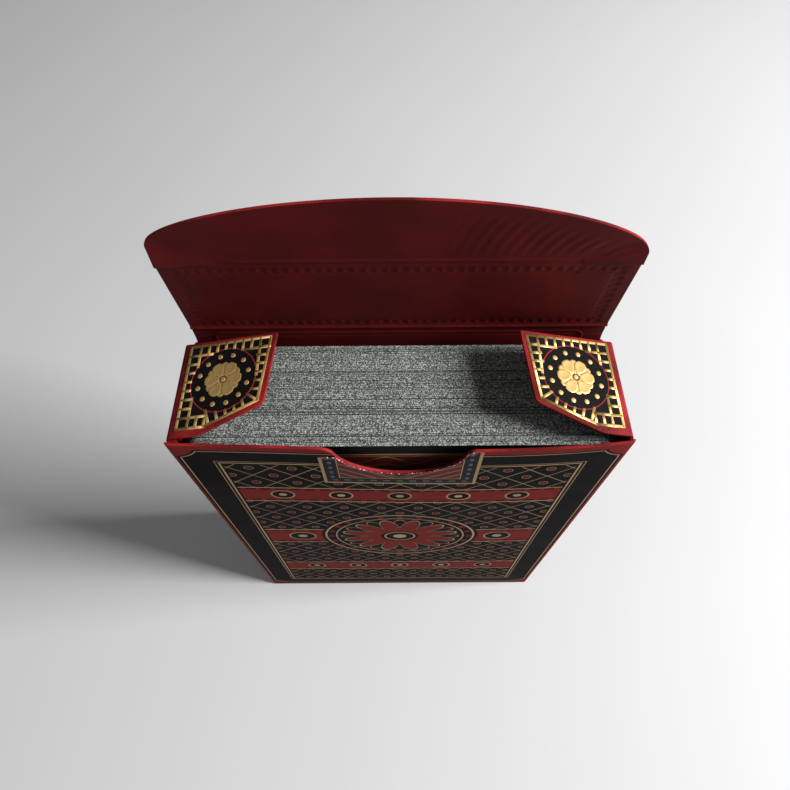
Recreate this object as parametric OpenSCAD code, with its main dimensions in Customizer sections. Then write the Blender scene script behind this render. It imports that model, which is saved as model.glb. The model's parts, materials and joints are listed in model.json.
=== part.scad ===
// Pack of playing cards in an open tuck case.
// Millimetres. X runs across the case, Y from front to back, Z up.
// The origin is at the middle of the base, on the surface that the case stands on.

/* [Cards] */
// Width of one card
card_w = 63.5; // [56:0.1:66]
// Height of one card
card_h = 88.9; // [80:0.1:100]
// Thickness of one card
card_t = 0.305; // [0.2:0.005:0.4]
// Air between two cards
card_gap = 0.005; // [0.002:0.001:0.02]
// Radius of a card's corners
card_corner_r = 3.2; // [1:0.1:6]

/* [Board] */
// Thickness of the carton board
board_t = 0.42; // [0.3:0.01:0.6]
// Gap between layers of board folded over each other
fold_gap = 0.05; // [0.02:0.01:0.2]
// Distance from a moving crease over which the board thins
crease_taper = 0.36; // [0.3:0.01:0.6]
// Thickness of the thinned board at a moving crease
crease_web = 0.04; // [0.02:0.01:0.06]
// Half the gap left open along a moving crease
crease_gap = 0.04; // [0.03:0.01:0.1]

/* [Case fit] */
// Play between the cards and the case on each side
side_play = 0.25; // [0.1:0.01:0.8]
// Play between the cards and the case from front to back, beside the room for the tuck flap
depth_play = 1; // [0.3:0.01:1.5]
// Gap between the front panel and the cards while the case is open
deck_front_gap = 0.38; // [0.05:0.01:0.6]
// Gap on each side of a tuck flap in its slot
tuck_clear = 0.08; // [0.04:0.01:0.2]
// Height from the top of the cards to the top of the case
head_room = 3; // [1.6:0.05:4]

/* [Front panel] */
// Gap between the closed lid and the front panel's edge
rim_gap = 0.05; // [0.02:0.01:0.4]
// Width of the thumb notch at the front panel's edge
notch_w = 21.6; // [14:0.1:28]
// Depth of the thumb notch
notch_depth = 9; // [5:0.1:12]

/* [Lid] */
// Distance from the side of the case to the side of the lid
lid_side_inset = 0.8; // [0.4:0.05:1.5]
// Forward lean of the open lid, in degrees
lid_lean = 3.8; // [0:0.1:6]
// Length of the tuck flap at its middle
tongue_l = 11.7; // [10:0.1:18]
// Length of the tuck flap's straight sides
tongue_side_l = 4.9; // [2:0.1:8]
// Forward lean of the tuck flap on the open lid, in degrees
tongue_lean = 2.6; // [-3:0.1:8]
// Length of the lock slit at each end of the tuck flap's crease
slit_l = 8; // [4:0.1:14]
// Width of a lock slit
slit_w = 0.15; // [0.1:0.01:0.3]
// Distance from the tuck flap's crease to a lock slit
slit_offset = 0.6; // [0.5:0.01:1.2]

/* [Dust flaps] */
// Length of a dust flap from its crease
flap_l = 14.5; // [10:0.1:18]
// Distance from the front of the case to a dust flap
flap_front_gap = 1; // [0.98:0.01:2]
// Distance from the back of the case to a dust flap
flap_back_gap = 2.9; // [2.6:0.05:5]
// Angle of a dust flap above level, in degrees
flap_angle = 14; // [0:0.5:20]
// Distance from the crease at which the flap's slanted corner starts
flap_slant_start = 4.6; // [3:0.1:9]
// Depth of the flap's slanted corner
flap_slant_depth = 4; // [1:0.1:5]
// Gap between a flat dust flap and the closed lid
flap_lid_gap = 0.12; // [0.05:0.01:0.3]
// Depth of the side panel's cut behind a dust flap
side_relief = 2; // [0.5:0.1:5]
// Depth of the side panel's cut in front of a dust flap
side_front_relief = 0.5; // [0.4:0.05:1.5]

/* [Bottom and seam] */
// Length of a bottom dust flap
bottom_dust_l = 24; // [12:0.5:30]
// Gap from the inner bottom flap to the back panel
bottom_inner_short = 2; // [0.5:0.1:5]
// Gap from the glue flap's free edge to the front panel
glue_flap_short = 2; // [0.5:0.1:5]
// Drop from the dust flap's crease to the top of the glue flap
glue_flap_drop = 3; // [1:0.1:8]

/* [Seal] */
// Width of the seal left on the front panel
seal_w = 23.2; // [22:0.1:30]
// Distance from the front panel's edge down to the seal's lower end
seal_drop = 13.6; // [10:0.1:20]
// Distance from the front panel's edge down to the seal's torn shoulders
seal_top_gap = 0.6; // [0.2:0.1:3]
// Thickness of the seal's paper
seal_t = 0.12; // [0.08:0.01:0.2]

/* [Hidden] */
$fn = 96;
// Overrun of a cut past the face that it opens
cut_over = 1;

JOKERS = 2;
SUITS = ["spades", "diamonds", "clubs", "hearts"];
PIP_RANKS = ["ace", "two", "three", "four", "five", "six", "seven", "eight", "nine", "ten"];
COURTS = 3;
RANKS = len(PIP_RANKS) + COURTS;
DECK = JOKERS + len(SUITS) * RANKS;
// The last two suits lie in falling order
FIRST_FALLING_SUIT = 2;

card_pitch = card_t + card_gap;
deck_d = DECK * card_pitch - card_gap;
tuck_slot = board_t + 2 * tuck_clear;
floor_t = 3 * board_t + 2 * fold_gap;
deck_z = floor_t + fold_gap;

case_w = card_w + 2 * side_play + 3 * board_t;
case_d = deck_d + depth_play + tuck_slot + 2 * board_t;
case_h = deck_z + card_h + head_room;
side_x = case_w / 2;
front_y = -case_d / 2;
back_y = case_d / 2;
inner_front_y = front_y + board_t;
inner_back_y = back_y - board_t;
rim_z = case_h - board_t - rim_gap;

deck_x = board_t / 2;
deck_y = inner_front_y + deck_front_gap;

lid_crease_y = back_y - board_t / 2;
lid_crease_z = case_h - board_t / 2;
lid_l = case_d - 2 * board_t - tuck_clear;
lid_w = case_w - 2 * lid_side_inset;
tongue_w = case_w - 4 * board_t - 2 * tuck_clear;
tongue_rise = tongue_l - tongue_side_l;
tongue_arc_r = (pow(tongue_w / 2, 2) + pow(tongue_rise, 2)) / (2 * tongue_rise);

flap_crease_x = side_x - board_t / 2;
flap_crease_z = case_h - board_t - flap_lid_gap - board_t / 2;
flap_w = case_d - flap_front_gap - flap_back_gap;
flap_y = (flap_front_gap - flap_back_gap) / 2;

side_panel_z = 2 * (board_t + fold_gap);
notch_r = (pow(notch_w / 2, 2) + pow(notch_depth, 2)) / (2 * notch_depth);

INK = "#191413";
FOLD_RED = "#8c2322";
LINING_RED = "#5c1b18";
CARD_EDGE = "#7d7f7c";
SEAL_MAROON = "#4a1a18";

CARTON = ["front_panel", "back_panel", "left_side_panel", "right_side_panel", "glue_flap",
    "bottom_panel", "bottom_inner_flap", "bottom_dust_flap_left", "bottom_dust_flap_right",
    "lid_panel", "lid_tuck_flap", "dust_flap_left", "dust_flap_right", "seal_label"];

// Place of a card in the pack, counted from the front, for a rank counted from the ace as 0
function pack_place(suit, rank) =
    JOKERS + suit * RANKS + (suit < FIRST_FALLING_SUIT ? rank : RANKS - 1 - rank);

// Half of a board's section at one end, as points of length and half thickness
function board_end(at, inward, creased) = creased
    ? [[at + inward * crease_gap, crease_web / 2],
       [at + inward * (crease_gap + crease_taper), board_t / 2]]
    : [[at, board_t / 2]];

// A sheet of board from its near edge at Y = 0, centred across X and through its thickness
module board(width, length, near_crease = false, far_crease = false) {
    near = board_end(0, 1, near_crease);
    far = board_end(length, -1, far_crease);
    upper = concat(near, [for (i = [len(far) - 1:-1:0]) far[i]]);
    lower = [for (i = [len(upper) - 1:-1:0]) [upper[i][0], -upper[i][1]]];
    rotate([90, 0, 90]) linear_extrude(width, center = true) polygon(concat(upper, lower));
}

// A cut through a board, from a flat outline
module board_cut() {
    linear_extrude(board_t + 2 * cut_over, center = true) children();
}

// The outline of the thumb notch, down from the front panel's edge at Y = 0
module notch_outline() {
    translate([0, notch_r - notch_depth]) circle(notch_r);
}

module front_panel() {
    color(INK) translate([0, front_y + board_t / 2, 0]) rotate([90, 0, 0]) difference() {
        board(case_w, rim_z);
        translate([0, rim_z]) board_cut() notch_outline();
    }
}

module back_panel() {
    color(INK) translate([0, back_y - board_t / 2, 0]) rotate([90, 0, 0])
        board(case_w, lid_crease_z, far_crease = true);
}

// A side panel, drawn on the right, with its top cut away on both sides of the dust flap
module side_panel() {
    panel_h = flap_crease_z - side_panel_z;
    panel_w = case_d - 2 * board_t;
    color(INK) translate([flap_crease_x, 0, side_panel_z]) rotate([90, 0, 90]) difference() {
        board(panel_w, panel_h, far_crease = true);
        board_cut() {
            translate([flap_y + flap_w / 2, panel_h - side_relief]) square(side_relief + flap_back_gap);
            translate([-panel_w / 2 - cut_over, panel_h - side_front_relief])
                square([cut_over + flap_front_gap - board_t, side_front_relief + cut_over]);
        }
    }
}

module left_side_panel() mirror([1, 0, 0]) side_panel();

module right_side_panel() side_panel();

module glue_flap() {
    color(LINING_RED)
        translate([board_t - side_x, inner_front_y + glue_flap_short, deck_z])
            cube([board_t, case_d - 2 * board_t - glue_flap_short, flap_crease_z - glue_flap_drop - deck_z]);
}

// One of the two glued layers under the case, set in from the front and back panels
module bottom_layer(layer, back_short) {
    color(layer == 0 ? INK : LINING_RED)
        translate([lid_side_inset - side_x, inner_front_y, layer * (board_t + fold_gap)])
            cube([lid_w, case_d - 2 * board_t - back_short, board_t]);
}

module bottom_panel() bottom_layer(0, 0);

module bottom_inner_flap() bottom_layer(1, bottom_inner_short);

// A bottom dust flap, drawn on the right
module bottom_dust_flap() {
    color(LINING_RED)
        translate([side_x - board_t - bottom_dust_l, inner_front_y + fold_gap, side_panel_z])
            cube([bottom_dust_l, case_d - 2 * (board_t + fold_gap), board_t]);
}

module bottom_dust_flap_left() mirror([1, 0, 0]) bottom_dust_flap();

module bottom_dust_flap_right() bottom_dust_flap();

// Puts a sheet on the open lid's crease, its length running up the lid
module on_lid() {
    translate([0, lid_crease_y, lid_crease_z]) rotate([90 + lid_lean, 0, 0]) children();
}

module lid_panel() {
    color(LINING_RED) on_lid() difference() {
        board(lid_w, lid_l, near_crease = true, far_crease = true);
        for (side = [-1, 1])
            translate([side * lid_w / 2, lid_l - slit_offset]) board_cut()
                square([2 * slit_l, slit_w], center = true);
    }
}

module lid_tuck_flap() {
    color(LINING_RED) on_lid() translate([0, lid_l, 0]) rotate([tongue_lean - lid_lean, 0, 0])
        intersection() {
            board(tongue_w, tongue_l, near_crease = true);
            translate([0, tongue_l - tongue_arc_r]) board_cut() circle(tongue_arc_r, $fn = 4 * $fn);
        }
}

// A dust flap, drawn on the left, with its front corner slanted
module dust_flap() {
    color(INK) translate([-flap_crease_x, flap_y, flap_crease_z]) rotate([0, -flap_angle, 0])
        rotate([0, 0, -90]) difference() {
            board(flap_w, flap_l, near_crease = true);
            translate([flap_w / 2, 0]) board_cut() polygon([
                [0, flap_slant_start],
                [-flap_slant_depth, flap_l],
                [-flap_slant_depth, flap_l + cut_over],
                [cut_over, flap_l + cut_over],
                [cut_over, flap_slant_start]]);
        }
}

module dust_flap_left() dust_flap();

module dust_flap_right() mirror([1, 0, 0]) dust_flap();

// The half of the paper seal that stays on the front panel once the case is opened
module seal_label() {
    color(SEAL_MAROON) translate([0, front_y, rim_z]) rotate([90, 0, 0]) linear_extrude(seal_t) difference() {
        translate([-seal_w / 2, -seal_drop]) square([seal_w, seal_drop - seal_top_gap]);
        notch_outline();
    }
}

// One card, standing with its back to the front, at its place in the pack
module card(place) {
    straight_w = card_w - 2 * card_corner_r;
    straight_h = card_h - 2 * card_corner_r;
    color(CARD_EDGE) translate([deck_x, deck_y + place * card_pitch + card_t, deck_z + card_h / 2])
        rotate([90, 0, 0]) linear_extrude(card_t) {
            square([card_w, straight_h], center = true);
            square([straight_w, card_h], center = true);
            for (x = [-1, 1], y = [-1, 1])
                translate([x * straight_w / 2, y * straight_h / 2]) circle(card_corner_r);
        }
}

module jokers() {
    for (place = [0:JOKERS - 1]) card(place);
}

module court_cards(suit) {
    for (rank = [len(PIP_RANKS):RANKS - 1]) card(pack_place(suit, rank));
}

front_panel();
back_panel();
left_side_panel();
right_side_panel();
glue_flap();
bottom_panel();
bottom_inner_flap();
bottom_dust_flap_left();
bottom_dust_flap_right();
lid_panel();
lid_tuck_flap();
dust_flap_left();
dust_flap_right();
seal_label();
jokers();
for (suit = [0:len(SUITS) - 1]) {
    court_cards(suit);
    for (rank = [0:len(PIP_RANKS) - 1])
        card(pack_place(suit, rank));
}
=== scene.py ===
"""Looks of a pack of playing cards in its open tuck case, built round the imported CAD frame."""

from __future__ import annotations

import json
import logging
import math
import random
from collections.abc import Callable, Iterator, Sequence
from contextlib import contextmanager
from dataclasses import dataclass
from enum import Enum

import bpy
from bpy.types import Material, NodeSocket, Object
from mathutils import Matrix, Vector
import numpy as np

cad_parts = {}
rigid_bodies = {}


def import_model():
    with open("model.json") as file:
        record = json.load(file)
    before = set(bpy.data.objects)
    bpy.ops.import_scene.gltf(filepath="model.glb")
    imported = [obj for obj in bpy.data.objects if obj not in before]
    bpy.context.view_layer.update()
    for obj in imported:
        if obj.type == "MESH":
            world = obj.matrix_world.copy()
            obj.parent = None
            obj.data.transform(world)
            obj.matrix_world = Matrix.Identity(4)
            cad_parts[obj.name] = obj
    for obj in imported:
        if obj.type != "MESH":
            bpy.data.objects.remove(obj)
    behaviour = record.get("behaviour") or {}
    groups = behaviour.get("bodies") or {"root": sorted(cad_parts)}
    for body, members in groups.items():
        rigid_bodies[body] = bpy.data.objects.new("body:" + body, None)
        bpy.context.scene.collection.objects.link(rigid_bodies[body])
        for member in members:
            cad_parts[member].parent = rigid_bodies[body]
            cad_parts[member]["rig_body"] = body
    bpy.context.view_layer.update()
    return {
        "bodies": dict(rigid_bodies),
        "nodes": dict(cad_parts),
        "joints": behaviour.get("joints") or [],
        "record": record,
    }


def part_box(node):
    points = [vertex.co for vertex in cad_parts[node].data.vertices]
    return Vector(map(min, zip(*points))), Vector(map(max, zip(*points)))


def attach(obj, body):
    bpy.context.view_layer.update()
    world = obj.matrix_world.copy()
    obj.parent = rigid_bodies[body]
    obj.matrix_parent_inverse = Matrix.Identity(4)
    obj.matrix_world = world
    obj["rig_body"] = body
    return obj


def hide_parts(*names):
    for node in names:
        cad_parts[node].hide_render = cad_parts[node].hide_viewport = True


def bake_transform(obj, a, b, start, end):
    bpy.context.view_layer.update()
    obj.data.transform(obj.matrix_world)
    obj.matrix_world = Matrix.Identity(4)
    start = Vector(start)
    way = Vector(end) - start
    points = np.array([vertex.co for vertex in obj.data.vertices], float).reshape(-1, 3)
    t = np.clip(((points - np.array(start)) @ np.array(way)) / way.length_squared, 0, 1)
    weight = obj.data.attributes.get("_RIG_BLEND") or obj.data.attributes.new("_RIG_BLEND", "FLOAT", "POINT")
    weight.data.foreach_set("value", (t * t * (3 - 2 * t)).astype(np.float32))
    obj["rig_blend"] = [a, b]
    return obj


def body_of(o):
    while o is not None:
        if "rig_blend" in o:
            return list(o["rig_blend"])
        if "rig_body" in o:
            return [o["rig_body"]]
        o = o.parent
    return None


LOG = logging.getLogger("card_case")
MM = 0.001
PER_MM = 1000.0
# How far the bend of a crease reaches to each side of its line.
LID_CREASE_REACH = 1.7 * MM
FLAP_CREASE_REACH = 0.6 * MM

Triple = tuple[float, float, float]
Colour = Triple
Flat = tuple[float, float]
Grid = tuple[int, int]


def lerp(start: float, end: float, share: float) -> float:
    """Returns the value a share of the way from start to end."""
    return start + (end - start) * share


def ease(low: float, high: float, value: float) -> float:
    """Returns 0 below low, 1 above high and a smooth rise between them."""
    share = min(1.0, max(0.0, (value - low) / (high - low)))
    return share * share * (3 - 2 * share)


def spread(start: float, end: float, steps: int) -> list[float]:
    """Returns steps + 1 evenly spaced values from start to end."""
    return [lerp(start, end, i / steps) for i in range(steps + 1)]


def arc(centre: Flat, radius: float, start: float, end: float, steps: int) -> list[Flat]:
    """Points along a flat arc.

    Args:
        centre: Centre of the arc.
        radius: Radius of the arc.
        start: First angle, in radians.
        end: Last angle, in radians.
        steps: Number of chords.

    Returns:
        The points, from the first angle to the last.
    """
    return [
        (centre[0] + radius * math.cos(a), centre[1] + radius * math.sin(a))
        for a in spread(start, end, steps)
    ]


def rounded(corners: Sequence[Flat], radii: Sequence[float], steps: int = 5) -> list[Flat]:
    """A flat outline with its corners rounded off.

    Args:
        corners: Corners in order round the outline.
        radii: Radius at each corner, 0 for a sharp one.
        steps: Chords in each rounded corner.

    Returns:
        The points of the outline, in the same order.
    """
    outline: list[Flat] = []
    for i, (corner, radius) in enumerate(zip(corners, radii)):
        if radius == 0:
            outline.append(corner)
            continue
        here = Vector(corner)
        before = (Vector(corners[i - 1]) - here).normalized()
        after = (Vector(corners[(i + 1) % len(corners)]) - here).normalized()
        half = before.angle(after) / 2
        reach = radius / math.tan(half)
        first, last = here + before * reach, here + after * reach
        for share in spread(0.0, 1.0, steps):
            outline.append(tuple(first.lerp(here, share).lerp(here.lerp(last, share), share)))
    return outline


class Wire:
    """An output socket of a shader node that takes part in Python sums."""

    def __init__(self, sheet: NodeSheet, socket: NodeSocket) -> None:
        """Keeps the node sheet and the socket."""
        self.sheet = sheet
        self.socket = socket

    def _math(self, operation: str, *operands: Wire | float) -> Wire:
        """Adds a Math node on the operands."""
        return self.sheet.node("ShaderNodeMath", {"operation": operation}, dict(enumerate(operands)))

    def __add__(self, other: Wire | float) -> Wire:
        """Adds."""
        return self._math("ADD", self, other)

    __radd__ = __add__

    def __sub__(self, other: Wire | float) -> Wire:
        """Subtracts other from this."""
        return self._math("SUBTRACT", self, other)

    def __rsub__(self, other: float) -> Wire:
        """Subtracts this from other."""
        return self._math("SUBTRACT", other, self)

    def __mul__(self, other: Wire | float) -> Wire:
        """Multiplies."""
        return self._math("MULTIPLY", self, other)

    __rmul__ = __mul__

    def __abs__(self) -> Wire:
        """Takes the size without its sign."""
        return self._math("ABSOLUTE", self)

    def __lt__(self, other: Wire | float) -> Wire:
        """Gives 1 where this is less than other."""
        return self._math("LESS_THAN", self, other)

    def least(self, other: Wire | float) -> Wire:
        """Takes the smaller of two values."""
        return self._math("MINIMUM", self, other)

    def most(self, other: Wire | float) -> Wire:
        """Takes the larger of two values."""
        return self._math("MAXIMUM", self, other)

    def sine(self) -> Wire:
        """Takes the sine of an angle in radians."""
        return self._math("SINE", self)

    def angle_to(self, across: Wire) -> Wire:
        """Takes the angle whose rise is this and whose run is across."""
        return self._math("ARCTAN2", self, across)

    def length_with(self, other: Wire) -> Wire:
        """Takes the length of a flat vector of this and other."""
        return self._math("SQRT", self * self + other * other)

    def wrap(self, pitch: float) -> Wire:
        """Repeats a coordinate so that it runs from -pitch / 2 to pitch / 2."""
        return self._math("WRAP", self, pitch / 2, -pitch / 2)

    def fade(self, off: float, on: float) -> Wire:
        """Goes smoothly from 0 at off to 1 at on."""
        return self.sheet.node(
            "ShaderNodeMapRange",
            {"interpolation_type": "SMOOTHSTEP"},
            {"Value": self, "From Min": off, "From Max": on},
        )

    def within(self, reach: float, soft: float = 0.03) -> Wire:
        """Gives 1 where this is less than reach, with an edge as soft as a print's."""
        return self.fade(reach + soft, reach - soft)

    def line(self, at: float, half_width: float) -> Wire:
        """Gives 1 along the line where this equals at."""
        return abs(self - at).within(half_width)


class NodeSheet:
    """The nodes of one finish."""

    def __init__(self, name: str) -> None:
        """Starts an empty material of that name."""
        self.material = bpy.data.materials.new(name)
        self.material.use_nodes = True
        self.tree = self.material.node_tree
        self.tree.nodes.clear()

    def node(
        self,
        kind: str,
        settings: dict[str, object] | None = None,
        inputs: dict[str | int, object] | None = None,
        output: str | int = 0,
    ) -> Wire:
        """Adds a node.

        Args:
            kind: Blender's name of the node type.
            settings: Properties of the node, set before its sockets.
            inputs: Wires or values of its input sockets, by name or number.
            output: The output socket to return.

        Returns:
            The wire of that output.
        """
        made = self.tree.nodes.new(kind)
        for name, value in (settings or {}).items():
            setattr(made, name, value)
        for key, value in (inputs or {}).items():
            socket = made.inputs[key]
            if isinstance(value, Wire):
                self.tree.links.new(value.socket, socket)
            elif isinstance(value, tuple) and socket.type == "RGBA":
                socket.default_value = (*value, 1.0)
            else:
                socket.default_value = value
        return Wire(self, made.outputs[output])

    def place(self, stretch: Triple = (1.0, 1.0, 1.0)) -> Wire:
        """Gives the place on the object.

        Args:
            stretch: Stretches it along the axes.

        Returns:
            The place in millimetres.
        """
        place = self.node("ShaderNodeTexCoord", output="Object")
        scale = tuple(PER_MM * s for s in stretch)
        return self.node("ShaderNodeVectorMath", {"operation": "MULTIPLY"}, {0: place, 1: scale})

    def axes(self) -> tuple[Wire, Wire, Wire]:
        """Gives the three coordinates on the object in millimetres."""
        first = self.node("ShaderNodeSeparateXYZ", inputs={0: self.place()})
        sockets = first.socket.node.outputs
        return first, Wire(self, sockets[1]), Wire(self, sockets[2])

    def noise(self, per_mm: float, detail: float = 2.0, stretch: Triple = (1.0, 1.0, 1.0)) -> Wire:
        """Gives a noise from 0 to 1 with that many bumps to a millimetre."""
        return self.node(
            "ShaderNodeTexNoise",
            inputs={"Vector": self.place(stretch), "Scale": per_mm, "Detail": detail},
        )

    def mix(self, share: Wire, plain: Wire | Colour, over: Wire | Colour) -> Wire:
        """Lays one colour over another where share is 1."""
        return self.node(
            "ShaderNodeMix", {"data_type": "RGBA"}, {0: share, 6: plain, 7: over}, output=2
        )

    def bump(self, height: Wire, depth: float, strength: float = 1.0) -> Wire:
        """Turns a height from 0 to 1 into a normal, for a relief of that depth in metres."""
        return self.node(
            "ShaderNodeBump", inputs={"Height": height, "Distance": depth, "Strength": strength}
        )

    def surface(self, **inputs: object) -> Material:
        """Ends the sheet in a Principled shader.

        Args:
            **inputs: Sockets of the shader, with spaces written as underscores.

        Returns:
            The finished material.
        """
        shader = self.node(
            "ShaderNodeBsdfPrincipled",
            inputs={key.replace("_", " "): value for key, value in inputs.items()},
        )
        output = self.tree.nodes.new("ShaderNodeOutputMaterial")
        self.tree.links.new(shader.socket, output.inputs["Surface"])
        return self.material


class Ink:
    """Colours of the inks, foils and papers, as linear light."""

    BLACK = (0.0055, 0.0045, 0.005)
    BLACK_WORN = (0.009, 0.007, 0.008)
    BLACK_FIBRE = (0.045, 0.036, 0.05)
    RED = (0.31, 0.018, 0.019)
    RED_WORN = (0.46, 0.075, 0.07)
    RED_BRIGHT = (0.42, 0.02, 0.035)
    # Painted shade: darker copies of the red for the printed panels and the torn seal, standing in for the
    # shade on the front of the case.
    BRICK = (0.17, 0.015, 0.013)
    BRICK_WORN = (0.25, 0.035, 0.028)
    # Painted shade: the lining's reds are darker copies of the board's red, for the inside faces of the case,
    # which sit in shade.
    LINING = (0.098, 0.0052, 0.0054)
    LINING_DEEP = (0.072, 0.0038, 0.004)
    MAROON = (0.085, 0.012, 0.011)
    # Painted shade: a darker maroon for the card back, which is seen only in the shade of the notch.
    MAROON_DEEP = (0.045, 0.007, 0.007)
    MAROON_WORN = (0.15, 0.02, 0.018)
    GOLD = (0.80, 0.54, 0.21)
    GOLD_DEEP = (0.60, 0.36, 0.12)
    # Painted shade: darker copies of the gold foil, for the prints on the case and the cards, which sit in
    # shade.
    BRONZE = (0.40, 0.25, 0.10)
    BRONZE_DEEP = (0.24, 0.145, 0.055)
    BLUE_GREY = (0.075, 0.095, 0.16)
    EDGE_PALE = (0.52, 0.56, 0.52)
    EDGE_DARK = (0.016, 0.019, 0.018)
    CARD_FACE = (0.80, 0.79, 0.75)
    HEART = (0.50, 0.012, 0.016)
    FIBRE = (0.78, 0.66, 0.60)
    FLOOR = (0.62, 0.62, 0.62)
    FLOOR_DEEP = (0.58, 0.58, 0.59)


class Axis(Enum):
    """The axis that runs across a printed panel."""

    X = 0
    Y = 1


@dataclass(frozen=True)
class RedBoard:
    """Uncoated red board: the lining of the case, its margins and its cut edges."""

    name: str
    colour: Colour
    deep: Colour
    worn: Colour
    worn_share: float = 0.25
    worn_fade: Flat = (0.56, 0.78)
    cloud_per_mm: float = 0.12
    cloud_fade: Flat = (0.35, 0.7)
    fibre_per_mm: float = 6.0
    fibre_stretch: Triple = (1.0, 0.45, 1.0)
    grain_depth: float = 0.02 * MM

    def make(self) -> Material:
        """Makes the material.

        Returns:
            The material.
        """
        sheet = NodeSheet(self.name)
        cloud = sheet.noise(self.cloud_per_mm, 3.0)
        fibre = sheet.noise(self.fibre_per_mm, 4.0, self.fibre_stretch)
        base = sheet.mix(cloud.fade(*self.cloud_fade), self.deep, self.colour)
        worn = fibre.fade(*self.worn_fade) * self.worn_share
        return sheet.surface(
            Base_Color=sheet.mix(worn, base, self.worn),
            Roughness=0.55 + 0.25 * fibre,
            Normal=sheet.bump(fibre, self.grain_depth, 0.6),
            Specular_IOR_Level=0.1,
        )


@dataclass(frozen=True)
class Grained:
    """One colour grained with another: black ink over board, stamped foil or torn paper."""

    name: str
    colour: Colour
    grain: Colour
    per_mm: float
    fade: Flat
    rough: Flat
    depth: float
    strength: float
    share: float = 1.0
    detail: float = 4.0
    stretch: Triple = (1.0, 1.0, 1.0)
    metallic: float = 0.0
    specular: float = 0.5

    def make(self) -> Material:
        """Makes the material.

        Returns:
            The material.
        """
        sheet = NodeSheet(self.name)
        noise = sheet.noise(self.per_mm, self.detail, self.stretch)
        return sheet.surface(
            Base_Color=sheet.mix(noise.fade(*self.fade) * self.share, self.colour, self.grain),
            Metallic=self.metallic,
            Roughness=self.rough[0] + self.rough[1] * noise,
            Normal=sheet.bump(noise, self.depth, self.strength),
            Specular_IOR_Level=self.specular,
        )


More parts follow.
